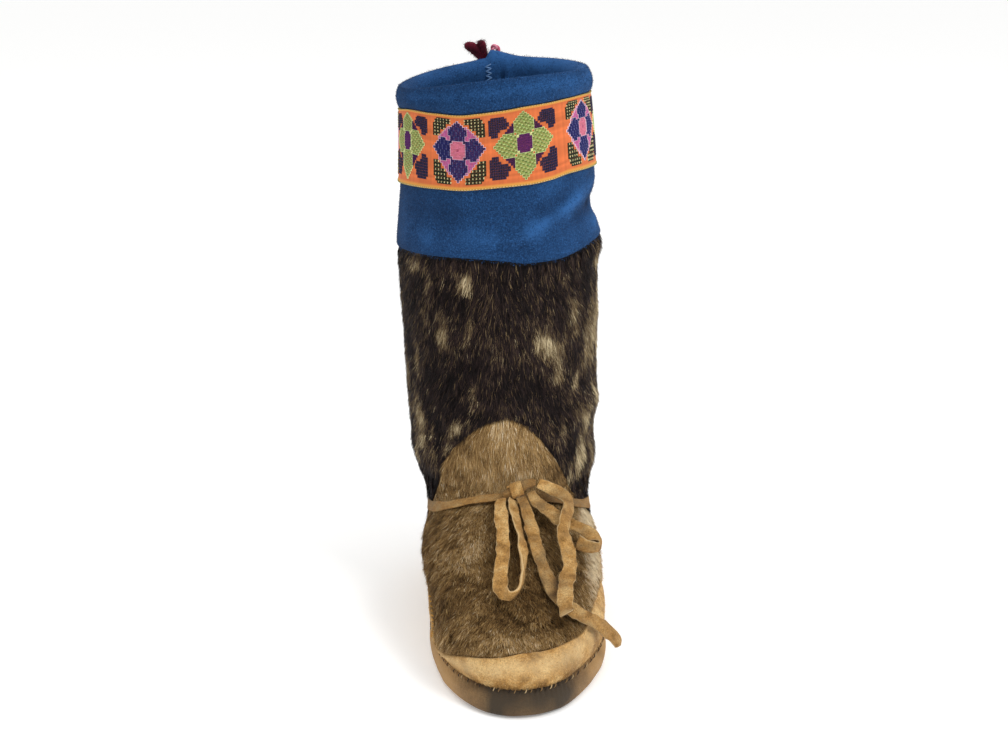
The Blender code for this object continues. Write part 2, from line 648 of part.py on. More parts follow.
def bow_knot(look):
    """The knot, an egg that sits on the tie and leans up to the outer side."""
    angle = np.array([KNOT_ANGLE])
    outward = TIE_FRONT_GAP * TIE_GAP + TIE_WALL + 6 * GAP + KNOT_THICKNESS / 2
    centre = wall_point(angle, tie_line(angle), outward)[0]
    bm = bmesh.new()
    bmesh.ops.create_uvsphere(bm, u_segments=12, v_segments=8, radius=0.5)
    bmesh.ops.scale(bm, verts=bm.verts, vec=(KNOT_LENGTH, KNOT_THICKNESS, KNOT_THICKNESS))
    bmesh.ops.rotate(bm, verts=bm.verts, matrix=Matrix.Rotation(-KNOT_RISE, 3, "Y"))
    bmesh.ops.translate(bm, verts=bm.verts, vec=centre)
    return add_object("bow_knot", bm, look)


def ankle_tie(look):
    """The tie's stretched part, round the ankle and behind the heel."""
    bm, shares = layered_grid(COLUMNS, 1, ring=True)
    across, up, depth = shares.T
    angle = 2 * math.pi * across
    s = beside(angle, tie_line, (up - 0.5) * TIE_WIDTH)
    front = 1 + (TIE_FRONT_GAP - 1) * np.clip(np.cos(angle), 0, 1)
    place(bm, wall_point(angle, s, TIE_GAP * front + TIE_WALL - depth * TIE_WALL))
    bmesh.ops.remove_doubles(bm, verts=bm.verts, dist=2e-5)
    return add_object("ankle_tie", bm, look)


for old in list(bpy.data.objects):
    bpy.data.objects.remove(old)
boot = collection("mukluk_boot")
cutters = collection("joined_pieces")
hide = material("smoked_hide", (0.42, 0.26, 0.12), 0.85)
dark_hide = material("sole_hide", (0.16, 0.11, 0.07), 0.9)
tan_fur = material("tan_fur", (0.27, 0.19, 0.10), 0.7)
dark_fur = material("dark_fur", (0.07, 0.05, 0.04), 0.65)
felt = material("blue_felt", (0.03, 0.11, 0.33), 0.95)
woven = material("woven_band", (0.75, 0.25, 0.08), 0.85)
red_yarn = material("dark_red_yarn", (0.13, 0.012, 0.03), 0.8)
pink_yarn = material("pink_yarn", (0.62, 0.14, 0.24), 0.8)

outsole(dark_hide)
insole(felt)
shell("rand", hide, np.linspace(0, 1, 5), sole_seam, rand_seam, 0, RAND_WALL)
shell("vamp", tan_fur, np.linspace(0, 1, 12), rand_seam, vamp_seam, 0, fur_wall, reach=VAMP_REACH)
shell("shaft", dark_fur, np.linspace(0, 1, 17), vamp_seam, cuff_seam, 0, fur_wall)
build_cuff(felt)
shell("woven_band", woven, (0, 0.5, 1), band_low, band_high, GAP + BAND_WALL, BAND_WALL)
collar_tassel(red_yarn)
collar_loop(pink_yarn)
ankle_tie(hide)
bow_knot(hide)
tube("front_loop", hide, FRONT_LOOP, TIE_CORD, 2.5 * TIE_CORD)
tube("long_end", hide, LONG_END, TIE_CORD, 2.5 * TIE_CORD)
tube("side_loop", hide, SIDE_LOOP, TIE_CORD, 2 * TIE_CORD)
tube("short_end", hide, SHORT_END, TIE_CORD, 2.5 * TIE_CORD)
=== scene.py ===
import math

import bpy
import numpy as np
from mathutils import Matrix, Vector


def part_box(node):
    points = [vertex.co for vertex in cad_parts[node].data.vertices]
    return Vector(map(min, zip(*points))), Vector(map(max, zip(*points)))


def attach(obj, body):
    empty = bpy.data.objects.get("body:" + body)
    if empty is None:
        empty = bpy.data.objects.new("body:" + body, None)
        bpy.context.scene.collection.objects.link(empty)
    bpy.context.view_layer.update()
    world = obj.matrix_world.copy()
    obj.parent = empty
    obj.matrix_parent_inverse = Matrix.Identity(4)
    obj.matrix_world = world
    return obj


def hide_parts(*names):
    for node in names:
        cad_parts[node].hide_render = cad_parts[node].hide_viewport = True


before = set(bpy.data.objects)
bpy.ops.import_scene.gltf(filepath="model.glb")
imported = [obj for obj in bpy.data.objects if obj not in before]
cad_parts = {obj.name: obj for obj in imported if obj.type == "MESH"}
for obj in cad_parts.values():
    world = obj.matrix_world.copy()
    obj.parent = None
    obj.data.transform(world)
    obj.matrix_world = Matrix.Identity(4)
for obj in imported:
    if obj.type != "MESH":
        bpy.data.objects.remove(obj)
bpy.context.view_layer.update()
rng = np.random.default_rng(7)

# The boot's sizes, as in the solids' source
size = {
    "toeReach": 0.157, "heelReach": 0.120, "ballWidth": 0.109, "ankleHeight": 0.092, "soleEdge": 0.0145,
    "randHeight": 0.044, "toeInswing": 0.0025,
    "bootHeight": 0.348, "legWidth": 0.126, "legDepth": 0.136, "legCentre": 0.047, "legLean": 0.012,
    "collarTilt": 0.0062, "collarDip": 0.004, "vampPeak": 0.139,
    "casing": 0.0165, "band": 0.046, "skirt": 0.0425, "seamSag": 0.007, "hemThickness": 0.0095,
    "feltWall": 0.0040, "soleWall": 0.0028, "randWall": 0.0020, "slack": 0.004, "cinch": 0.0026,
    "cinchSpread": 0.013, "tieFront": 0.0865, "tieSide": 0.068, "tieBack": 0.058,
}
vampAngle = 15 * 2 * math.pi / 48  # how far round from the front the vamp's tails run, 15 of 48 steps

# Sections of the foot: front reach, front rise, back reach, back rise, half width, share of the outline
footSections = (
    (0.700, 0.000, 0.720, 0.000, 0.700, 1.00), (0.945, 0.000, 0.930, 0.000, 0.900, 1.00),
    (0.995, 0.035, 0.990, 0.035, 0.985, 1.00), (0.990, 0.100, 1.000, 0.100, 1.000, 1.00),
    (0.948, 0.158, 0.990, 0.158, 0.975, 1.00), (0.957, 0.240, 0.995, 0.250, 0.980, 1.00),
    (0.937, 0.315, 0.990, 0.390, 0.978, 1.00), (0.880, 0.375, 0.980, 0.500, 0.975, 0.95),
    (0.735, 0.490, 0.970, 0.620, 0.990, 0.75), (0.490, 0.660, 0.958, 0.750, 1.000, 0.45),
    (0.270, 0.850, 0.950, 0.890, 1.010, 0.15),
)
# Sections of the leg: front, back, rise, half width, lean, tilt
legSections = (
    (0.985, 1.000, 0.000, 0.925, -0.02, 0.00), (0.970, 0.990, 0.060, 0.950, 0.05, 0.00),
    (0.960, 0.990, 0.150, 0.968, 0.16, 0.10), (0.970, 1.000, 0.330, 0.988, 0.25, 0.35),
    (0.975, 1.000, 0.590, 1.010, 0.40, 0.68), (0.950, 0.980, 0.760, 0.982, 0.42, 0.80),
    (0.920, 0.950, 0.930, 0.945, 0.55, 0.95), (0.910, 0.935, 1.000, 0.930, 0.64, 1.00),
)
outlineAlong = (0.00, 0.10, 0.22, 0.36, 0.50, 0.66, 0.82, 0.93, 1.00)
outlineOuter = (1.22, 1.15, 1.16, 1.09, 0.93, 0.86, 0.96, 1.15, 1.28)
outlineInner = (1.24, 1.15, 1.07, 1.00, 0.91, 0.86, 0.96, 1.15, 1.28)
# Height of the rand's top edge by the angle from the front, as a share of its height at the sides
randAngles = (-180, -140, -100, -78, -70, -64, -57, -48, -34, -24, -13, 4, 17, 28, 38, 45, 52, 66, 100, 140,
              180)
randUp = (0.95, 0.98, 1.00, 1.00, 0.86, 0.56, 0.38, 0.45, 0.61, 0.68, 0.72, 0.77, 0.77, 0.77, 0.77, 0.84,
          0.93, 1.00, 1.00, 0.98, 0.95)
vampAlong = (0.00, 0.08, 0.20, 0.28, 0.36, 0.47, 0.60, 0.80, 1.00)
vampOuter = (0.00, 0.05, 0.21, 0.36, 0.50, 0.62, 0.70, 0.84, 1.00)
vampInner = (0.00, 0.03, 0.12, 0.20, 0.31, 0.51, 0.63, 0.83, 1.00)
sagAngles = (-180, -100, -66, -40, -20, 0, 14, 28, 42, 60, 100, 180)
edgeSag = (0.00, -0.20, -0.20, 0.00, 0.20, 0.60, 0.97, 0.95, 0.60, 0.05, -0.20, 0.00)
bandLowSag = (0.00, 0.00, -0.10, 0.10, 0.35, 0.30, 0.28, 0.08, -0.25, -0.30, -0.10, 0.00)
bandHighSag = (0.00, -0.20, -0.50, -0.05, 0.35, 0.30, 0.15, 0.05, -0.10, -0.20, -0.10, 0.00)
# Large folds: angle, height, angle spread, height spread, depth as a share of the slack
folds = (
    (92, 0.745, 34, 0.034, -1.00), (66, 0.690, 40, 0.034, 0.65), (-60, 0.760, 40, 0.044, 0.25),
    (15, 0.715, 30, 0.040, 0.30), (60, 0.395, 30, 0.034, 0.40), (66, 0.325, 34, 0.032, -0.45),
    (-75, 0.300, 34, 0.034, 0.35), (-30, 0.350, 34, 0.036, -0.30), (-80, 0.150, 34, 0.040, 0.85),
    (74, 0.165, 34, 0.040, 0.20), (8, 0.205, 26, 0.034, 0.50), (8, 0.145, 42, 0.030, -0.45),
    (168, 0.350, 40, 0.036, -0.55), (178, 0.270, 40, 0.036, 0.40), (180, 0.700, 60, 0.040, 0.35),
)


def linear(code):
    # A hex colour as the renderer's linear numbers
    parts = [int(code[k : k + 2], 16) / 255 for k in (1, 3, 5)]
    return np.array([c / 12.92 if c <= 0.04045 else ((c + 0.055) / 1.055) ** 2.4 for c in parts])


def rgba(code):
    return (*linear(code), 1)


def node(tree, kind, inputs=None, stops=None, **settings):
    # Adds a node with its settings, its inputs as values or links, and a ramp's stops
    made = tree.nodes.new(kind)
    for key, value in settings.items():
        setattr(made, key, value)
    for key, value in (inputs or {}).items():
        if isinstance(value, bpy.types.NodeSocket):
            tree.links.new(value, made.inputs[key])
        else:
            made.inputs[key].default_value = value
    if stops:
        ramp = made.color_ramp
        while len(ramp.elements) < len(stops):
            ramp.elements.new(0.5)
        for element, (place, colour) in zip(ramp.elements, stops):
            element.position, element.color = place, colour
    return made


def material(name, roughness=0.8):
    # A new material, its tree and its shader
    made = bpy.data.materials.new(name)
    made.use_nodes = True
    shader = made.node_tree.nodes["Principled BSDF"]
    shader.inputs["Roughness"].default_value = roughness
    shader.inputs["Metallic"].default_value = 0
    shader.inputs["IOR"].default_value = 1.5
    return made, made.node_tree, shader


def perMm(millimetres):
    # The noise scale whose features are this wide
    return 1000 / millimetres


# The form
def monotone(x, y, at):
    x, y = np.asarray(x, float), np.asarray(y, float)
    step = np.diff(x)
    rise = np.diff(y) / step
    slope = np.zeros(len(x))
    same = rise[:-1] * rise[1:] > 0
    before, after = 2 * step[1:] + step[:-1], step[1:] + 2 * step[:-1]
    with np.errstate(divide="ignore", invalid="ignore"):
        mean = (before + after) / (before / rise[:-1] + after / rise[1:])
    slope[1:-1] = np.where(same, mean, 0)
    slope[0], slope[-1] = rise[0], rise[-1]
    i = np.clip(np.searchsorted(x, at, side="right") - 1, 0, len(x) - 2)
    t = (at - x[i]) / step[i]
    return (
        y[i] * (1 + 2 * t) * (1 - t) ** 2
        + y[i + 1] * t**2 * (3 - 2 * t)
        + step[i] * (slope[i] * t * (1 - t) ** 2 - slope[i + 1] * t**2 * (1 - t))
    )


def sectionRows():
    # All sections in metres: front y and z, back y and z, half width, foot share, lean, tilt
    rows = []
    for front, frontRise, back, backRise, half, foot in footSections:
        rows.append((-size["toeReach"] * front, size["ankleHeight"] * frontRise, size["heelReach"] * back,
                     size["ankleHeight"] * backRise, size["ballWidth"] / 2 * half, foot, 0, 0))
    for front, back, rise, half, lean, tilt in legSections:
        up = size["ankleHeight"] + (size["bootHeight"] - size["ankleHeight"]) * rise
        rows.append((size["legCentre"] - size["legDepth"] / 2 * front, up,
                     size["legCentre"] + size["legDepth"] / 2 * back, up,
                     size["legWidth"] / 2 * half, 0, -size["legLean"] * lean, tilt))
    return np.array(rows)


sections = sectionRows()
lastSection = len(sections) - 1.0


def levelHeight(angle, s):
    index = np.arange(len(sections))
    front, back = monotone(index, sections[:, 1], s), monotone(index, sections[:, 3], s)
    return front + (back - front) * (1 - np.cos(angle)) / 2


def sectionAt(angle, height):
    # The section at a height, by halving
    angle, height = np.broadcast_arrays(np.asarray(angle, float), np.asarray(height, float))
    low, high = np.ones(angle.shape), np.full(angle.shape, lastSection)
    for _ in range(30):
        middle = (low + high) / 2
        under = levelHeight(angle, middle) < height
        low, high = np.where(under, middle, low), np.where(under, high, middle)
    return (low + high) / 2


def plainForm(angle, s):
    index = np.arange(len(sections))
    front, frontUp, back, backUp, half, foot, lean, tilt = (
        monotone(index, sections[:, k], s) for k in range(sections.shape[1])
    )
    along, side = (1 - np.cos(angle)) / 2, np.sin(angle)
    outline = np.where(side > 0, monotone(outlineAlong, outlineOuter, along),
                       monotone(outlineAlong, outlineInner, along))
    inswing = -size["toeInswing"] * foot * (1 - along) ** 2
    return np.stack([
        lean + inswing + half * side * (1 + foot * (outline - 1)),
        front + (back - front) * along,
        frontUp + (backUp - frontUp) * along
        + tilt * (size["collarTilt"] * side - size["collarDip"] * side**2),
    ], axis=-1)


def turned(angle, about=0):
    return (angle - about + math.pi) % (2 * math.pi) - math.pi


def tieHeight(angle):
    ends = size["tieBack"] + (size["tieFront"] - size["tieBack"]) * (1 + np.cos(angle)) / 2
    return ends + np.sin(angle) ** 2 * (size["tieSide"] - (size["tieFront"] + size["tieBack"]) / 2)


def swelling(angle, s):
    up = levelHeight(angle, s)
    moved = np.zeros(np.shape(angle))
    for at, height, angleSpread, heightSpread, depth in folds:
        across = turned(angle, math.radians(at)) / math.radians(angleSpread)
        upward = (up / size["bootHeight"] - height) / heightSpread
        moved = moved + size["slack"] * depth * np.exp(-(across**2) - upward**2)
    return moved - size["cinch"] * np.exp(-(((up - tieHeight(angle)) / size["cinchSpread"]) ** 2))


def unit(v):
    return v / np.maximum(np.linalg.norm(v, axis=-1, keepdims=True), 1e-12)


# The form as a table over angle and section, read between its points from here on
tableAngles = np.linspace(-math.pi, math.pi, 721)
tableSections = np.linspace(0, lastSection, 901)


def makeTable():
    angle, s = np.meshgrid(tableAngles, tableSections)
    plain = plainForm(angle, s)
    normal = unit(np.cross(np.gradient(plain, axis=1), np.gradient(plain, axis=0)))
    place = plain + normal * swelling(angle, s)[..., None]
    across, up = np.gradient(place, axis=1), np.gradient(place, axis=0)
    across[:, 0] = across[:, -1] = (place[:, 1] - place[:, -2]) / 2
    return place, unit(np.cross(across, up)), unit(up)


tablePlace, tableNormal, tableUp = makeTable()


def read(table, angle, s):
    # The table's value at angles and sections
    angle, s = np.broadcast_arrays(np.asarray(angle, float), np.asarray(s, float))
    x = (turned(angle) + math.pi) / (2 * math.pi) * (len(tableAngles) - 1)
    y = np.clip(s, 0, lastSection) / lastSection * (len(tableSections) - 1)
    i, j = np.minimum(x.astype(int), len(tableAngles) - 2), np.minimum(y.astype(int), len(tableSections) - 2)
    u, v = (x - i)[..., None], (y - j)[..., None]
    return ((table[j, i] * (1 - u) + table[j, i + 1] * u) * (1 - v)
            + (table[j + 1, i] * (1 - u) + table[j + 1, i + 1] * u) * v)


def onForm(angle, s, lift=0.0):
    # Points that lie outward of the form by a distance
    return read(tablePlace, angle, s) + unit(read(tableNormal, angle, s)) * (
        np.broadcast_to(lift, np.broadcast(angle, s).shape)[..., None]
    )


# Seams, as sections for each angle
def soleSeam(angle):
    return sectionAt(angle, size["soleEdge"])


def randSeam(angle):
    return sectionAt(angle, size["randHeight"] * monotone(randAngles, randUp, np.degrees(turned(angle))))


def vampSeam(angle):
    share = np.clip(np.abs(turned(angle)) / vampAngle, 0, 1)
    fall = np.where(turned(angle) > 0, monotone(vampAlong, vampOuter, share),
                    monotone(vampAlong, vampInner, share))
    height = size["vampPeak"] - (size["vampPeak"] - size["randHeight"]) * fall
    return np.where(share < 1, np.maximum(sectionAt(angle, height), randSeam(angle)), randSeam(angle))


def sagging(angle, height, sag):
    return sectionAt(angle, height - size["seamSag"] * monotone(sagAngles, sag, np.degrees(turned(angle))))


def cuffSeam(angle):
    return sagging(angle, size["bootHeight"] - size["casing"] - size["band"] - size["skirt"], edgeSag)


def bandLow(angle):
    return sagging(angle, size["bootHeight"] - size["casing"] - size["band"], bandLowSag)


def bandHigh(angle):
    return sagging(angle, size["bootHeight"] - size["casing"], bandHighSag)


def between(angle, low, high, up):
    # Sections a share of the real way up from one seam to another, for rows of shares and columns of angles
    steps = np.linspace(0, 1, 65)[:, None]
    s = low + np.maximum(high - low, 0) * steps
    way = np.linalg.norm(np.diff(onForm(angle + 0 * s, s), axis=0), axis=-1)
    way = np.vstack([0 * way[:1], np.cumsum(way, axis=0)])
    shares = way / np.maximum(way[-1], 1e-9)
    at = np.stack([np.interp(up, shares[:, k], s[:, k]) for k in range(len(angle))], axis=1)
    return at, way[-1]


# Meshes
def gridFaces(rows, columns, ring=False, loop=False):
    # Quads over a grid of points, closed round (ring) and up its profile (loop)
    across = np.arange(columns if ring else columns - 1)
    up = np.arange(rows if loop else rows - 1)
    r, c = np.meshgrid(up, across, indexing="ij")
    rNext, cNext = (r + 1) % rows, (c + 1) % columns
    quads = np.stack([r * columns + c, r * columns + cNext, rNext * columns + cNext, rNext * columns + c], -1)
    return quads.reshape(-1, 4)


def addMesh(name, points, faces, look, tint=None, values=None):
    # A mesh from points and arrays of faces, with a colour for each point and other values by name
    points = np.asarray(points, float).reshape(-1, 3)
    faces = faces if isinstance(faces, list) else [faces]
    corners = np.concatenate([f.ravel() for f in faces])
    totals = np.concatenate([np.full(len(f), f.shape[1]) for f in faces])
    mesh = bpy.data.meshes.new(name)
    mesh.vertices.add(len(points))
    mesh.vertices.foreach_set("co", points.ravel())
    mesh.loops.add(len(corners))
    mesh.loops.foreach_set("vertex_index", corners)
    mesh.polygons.add(len(totals))
    mesh.polygons.foreach_set("loop_start", np.concatenate([[0], np.cumsum(totals)[:-1]]))
    mesh.polygons.foreach_set("use_smooth", np.full(len(totals), True))
    mesh.update(calc_edges=True)
    if tint is not None:
        layer = mesh.color_attributes.new("tint", "FLOAT_COLOR", "POINT")
        tint = np.asarray(tint).reshape(-1, 3)
        layer.data.foreach_set("color", np.hstack([tint, np.ones((len(tint), 1))]).ravel())
    for key, value in (values or {}).items():
        layer = mesh.attributes.new(key, "FLOAT", "POINT")
        layer.data.foreach_set("value", np.asarray(value, float).ravel())
    mesh.materials.append(look)
    made = bpy.data.objects.new(name, mesh)
    bpy.context.scene.collection.objects.link(made)
    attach(made, "root")
    return made


latticeCells = 32


def latticeNoise(points, millimetres, seed, stretch=(1, 1, 1)):
    # Smooth noise from -1 to 1 whose lumps are this wide, from a seeded lattice
    lattice = np.random.default_rng(seed).uniform(-1, 1, (latticeCells,) * 3)
    at = np.asarray(points) * 1000 / millimetres / np.array(stretch) + 500  # never below zero
    i = np.floor(at).astype(int)
    f = at - i
    f = f * f * (3 - 2 * f)
    total = 0
    for corner in np.ndindex(2, 2, 2):
        weight = np.prod([f[..., k] if corner[k] else 1 - f[..., k] for k in range(3)], axis=0)
        total = total + weight * lattice[tuple((i[..., k] + corner[k]) % latticeCells for k in range(3))]
    return total


def softLines(points, lines):
    # Ridges and troughs, one by one: each line runs from one angle and height to another, with a width and a
    # depth in millimetres, outward where it is positive
    moved = np.zeros(points.shape[:-1])
    for angle0, height0, angle1, height1, width, depth in lines:
        ends = [onForm(np.radians(a), sectionAt(np.radians(a), h / 1000)) for a, h in
                ((angle0, height0), (angle1, height1))]
        way = ends[1] - ends[0]
        along = np.clip(((points - ends[0]) @ way) / (way @ way), 0, 1)
        off = np.linalg.norm(points - ends[0] - along[..., None] * way, axis=-1) * 1000 / width
        fade = np.clip(4 * along, 0.25, 1) * np.clip(4 * (1 - along), 0.25, 1)
        moved += depth / 1000 * fade * np.exp(-(off**2))
    return moved


def toneColour(tone, stops):
    # A colour for each tone, from stops of place and hex colour
    places = [place for place, _ in stops]
    colours = np.array([linear(code) for _, code in stops])
    return np.stack([np.interp(tone, places, colours[:, k]) for k in range(3)], axis=-1)


def kiteFaces(count):
    # Two triangles over the four points of each hair or fibre
    first = np.arange(count)[:, None] * 4
    return np.concatenate([first + np.array([0, 1, 2]), first + np.array([2, 1, 3])])


def fibres(name, grid, weight, count, length, width, colours, stand=0.5, seed=5):
    # Short fibres scattered over a grid of points, each a thin kite with a bend; weight says where they grow
    own = np.random.default_rng(seed)
    across, up = np.gradient(grid, axis=1), np.gradient(grid, axis=0)
    area = np.linalg.norm(np.cross(across, up), axis=-1)
    chance = (area * weight).ravel()
    j, i = np.unravel_index(own.choice(len(chance), count, p=chance / chance.sum()), area.shape)
    aside = own.uniform(-0.5, 0.5, (count, 1))
    start = grid[j, i] + across[j, i] * aside + up[j, i] * own.uniform(-0.5, 0.5, (count, 1))
    normal = unit(np.cross(across[j, i], up[j, i]))
    turn = own.uniform(0, 2 * math.pi, count)
    side = unit(across[j, i])
    way = side * np.cos(turn)[:, None] + np.cross(normal, side) * np.sin(turn)[:, None]
    tall = (length * own.uniform(0.5, 1.2, count))[:, None]
    lift = (stand * own.uniform(0.2, 1.0, count))[:, None]
    middle = start + way * tall * 0.5 + normal * tall * lift * 0.7
    tip = start + way * tall * 0.85 + normal * tall * lift * 0.8
    wide = np.cross(way, normal) * (width / 2 * own.uniform(0.7, 1.3, count))[:, None]
    points = np.stack([start, middle - wide, middle + wide, tip], axis=1)
    tint = toneColour(own.random(count), [(k / (len(colours) - 1), c) for k, c in enumerate(colours)])
    made = addMesh(name, points, kiteFaces(count), feltFibre, np.repeat(tint, 4, axis=0))


print("form ready")

# Felt: dull blue wool with a fuzzy surface
feltColours = {"blue": "#1a3b64", "shade": "#0b213e", "light": "#30609a", "fuzz": "#6f97cc"}


def feltMaterial():
    # Wool felt: matt heathered blue, paler where a value on the piece is high and darker where it is low, a
    # value that holds painted light and painted shade with some random tone
    made, tree, shader = material("wool_felt", 0.95)
    place = node(tree, "ShaderNodeTexCoord").outputs["Object"]
    wool = node(tree, "ShaderNodeTexNoise", {"Vector": place, "Scale": perMm(0.9), "Detail": 5.0,
                                             "Roughness": 0.7}).outputs["Fac"]
    patches = node(tree, "ShaderNodeTexNoise", {"Vector": place, "Scale": perMm(22), "Detail": 2.0})
    heather = node(tree, "ShaderNodeValToRGB", {"Fac": wool}, stops=[
        (0.34, rgba(feltColours["shade"])), (0.5, rgba(feltColours["blue"])),
        (0.68, rgba(feltColours["light"]))])
    soft = node(tree, "ShaderNodeMath", {0: patches.outputs["Fac"], 1: 0.5}, operation="MULTIPLY")
    toned = node(tree, "ShaderNodeMix", {0: soft.outputs[0], 6: heather.outputs["Color"],
                                         7: rgba(feltColours["blue"])}, data_type="RGBA")
    wearAndLight = node(tree, "ShaderNodeAttribute", attribute_name="wearAndLight").outputs["Fac"]
    lightened = node(tree, "ShaderNodeMix", {0: wearAndLight, 6: toned.outputs[2], 7: rgba(feltColours["light"])},
                  data_type="RGBA", clamp_factor=True)
    sunk = node(tree, "ShaderNodeMath", {0: wearAndLight, 1: -1.0}, operation="MULTIPLY", use_clamp=True)
    shaded = node(tree, "ShaderNodeMix", {0: sunk.outputs[0], 6: lightened.outputs[2],
                                          7: rgba(feltColours["shade"])}, data_type="RGBA")
    tree.links.new(shaded.outputs[2], shader.inputs["Base Color"])
    bump = node(tree, "ShaderNodeBump", {"Height": wool, "Strength": 0.8, "Distance": 0.0009})
    tree.links.new(bump.outputs["Normal"], shader.inputs["Normal"])
    shader.inputs["Specular IOR Level"].default_value = 0.15
    shader.inputs["Sheen Weight"].default_value = 0.06
    shader.inputs["Sheen Roughness"].default_value = 0.5
    shader.inputs["Sheen Tint"].default_value = rgba(feltColours["fuzz"])
    return made


# Hide: smoked, napped, with darker stains and painted shade that a piece's own values add
hideColours = {"tan": "#b18549", "pale": "#d2ad72", "brown": "#85602f", "stainAndShade": "#4a3520",
               "edge": "#d9bd8c"}


def hideMaterial(name, colours, blotch, grain, patchy=1.6):
    # Smoked hide: blotchy tan suede with a fine nap, paler by one value on the piece (wear, and a painted
    # highlight on the rand) and brown by another (dirt, and painted shade on the rand and on the straps'
    # undersides)
    made, tree, shader = material(name, 0.86)
    place = node(tree, "ShaderNodeTexCoord").outputs["Object"]
    stainAndShade = node(tree, "ShaderNodeAttribute", attribute_name="stainAndShade").outputs["Fac"]
    large = node(tree, "ShaderNodeTexNoise", {"Vector": place, "Scale": perMm(blotch), "Detail": 6.0,
                                              "Roughness": 0.62}).outputs["Fac"]
    nap = node(tree, "ShaderNodeTexNoise", {"Vector": place, "Scale": perMm(grain), "Detail": 4.0,
                                            "Roughness": 0.7}).outputs["Fac"]
    blotches = node(tree, "ShaderNodeValToRGB", {"Fac": large}, stops=[
        (0.34, rgba(colours["brown"])), (0.48, rgba(colours["tan"])), (0.64, rgba(colours["pale"]))])
    fine = node(tree, "ShaderNodeValToRGB", {"Fac": nap}, stops=[
        (0.32, (0.45, 0.42, 0.38, 1)), (0.50, (0.95, 0.95, 0.95, 1)), (0.68, (1.40, 1.38, 1.30, 1))])
    napped = node(tree, "ShaderNodeMix", {0: 0.85, 6: blotches.outputs["Color"],
                                          7: fine.outputs["Color"]}, data_type="RGBA", blend_type="MULTIPLY")
    wearAndLight = node(tree, "ShaderNodeAttribute", attribute_name="wearAndLight").outputs["Fac"]
    lightened = node(tree, "ShaderNodeMix", {0: wearAndLight, 6: napped.outputs[2], 7: rgba(colours["edge"])},
                  data_type="RGBA", clamp_factor=True)
    dirty = node(tree, "ShaderNodeMath", {0: large, 1: 0.5}, operation="SUBTRACT")
    dirtAndShade = node(tree, "ShaderNodeMath", {0: dirty.outputs[0], 1: patchy, 2: stainAndShade}, operation="MULTIPLY_ADD")
    amount = node(tree, "ShaderNodeMath", {0: dirtAndShade.outputs[0], 1: stainAndShade}, operation="MULTIPLY",
                  use_clamp=True)
    darkened = node(tree, "ShaderNodeMix", {0: amount.outputs[0], 6: lightened.outputs[2],
                                           7: rgba(colours["stainAndShade"])}, data_type="RGBA")
    tree.links.new(darkened.outputs[2], shader.inputs["Base Color"])
    bump = node(tree, "ShaderNodeBump", {"Height": nap, "Strength": 0.8, "Distance": 0.0006})
    tree.links.new(bump.outputs["Normal"], shader.inputs["Normal"])
    shader.inputs["Specular IOR Level"].default_value = 0.25
    shader.inputs["Sheen Weight"].default_value = 0.04
    return made


def tintMaterial(name, roughness, sheen=0.0, bumpMm=None, shine=0.3):
    # A material that takes its colour from the mesh, for fur, threads and yarn
    made, tree, shader = material(name, roughness)
    tint = node(tree, "ShaderNodeAttribute", attribute_name="tint")
    tree.links.new(tint.outputs["Color"], shader.inputs["Base Color"])
    if bumpMm:
        place = node(tree, "ShaderNodeTexCoord").outputs["Object"]
        grain = node(tree, "ShaderNodeTexNoise", {"Vector": place, "Scale": perMm(bumpMm), "Detail": 3.0})
        bump = node(tree, "ShaderNodeBump", {"Height": grain.outputs["Fac"], "Strength": 0.5,
                                             "Distance": 0.0003})
        tree.links.new(bump.outputs["Normal"], shader.inputs["Normal"])
    shader.inputs["Specular IOR Level"].default_value = shine
    shader.inputs["Sheen Weight"].default_value = sheen
    return made


felt = feltMaterial()
smokedHide = hideMaterial("smoked_hide", hideColours, 10, 0.9)
soleColours = {"tan": "#8f6f49", "pale": "#a5855b", "brown": "#6d5338", "stainAndShade": "#40362a", "edge": "#ad8858"}
soleHide = hideMaterial("worn_sole_hide", soleColours, 12, 0.9, patchy=0.7)
skinSide = "#c9b08c"  # the bare side of the furred skins, seen inside the boot
furBase = tintMaterial("fur_roots", 0.9, bumpMm=0.6)  # dull skin and underfur between the hairs
furHair = tintMaterial("seal_hair", 0.5, shine=0.12)  # smooth hair with a faint gloss along its lie
feltFibre = tintMaterial("wool_fibre", 0.95, shine=0.1)  # matt loose fibres that soften an outline
thread = tintMaterial("cotton_thread", 0.75, sheen=0.04)  # clear colour with a soft light on each thread
yarn = tintMaterial("wool_yarn", 0.9, sheen=0.05, bumpMm=0.4, shine=0.15)  # thick and dull, with fine fuzz
weave = tintMaterial("ribbon_weave", 0.8, sheen=0.03, bumpMm=0.5)  # flat ribbed cloth under the threads
print("materials ready")

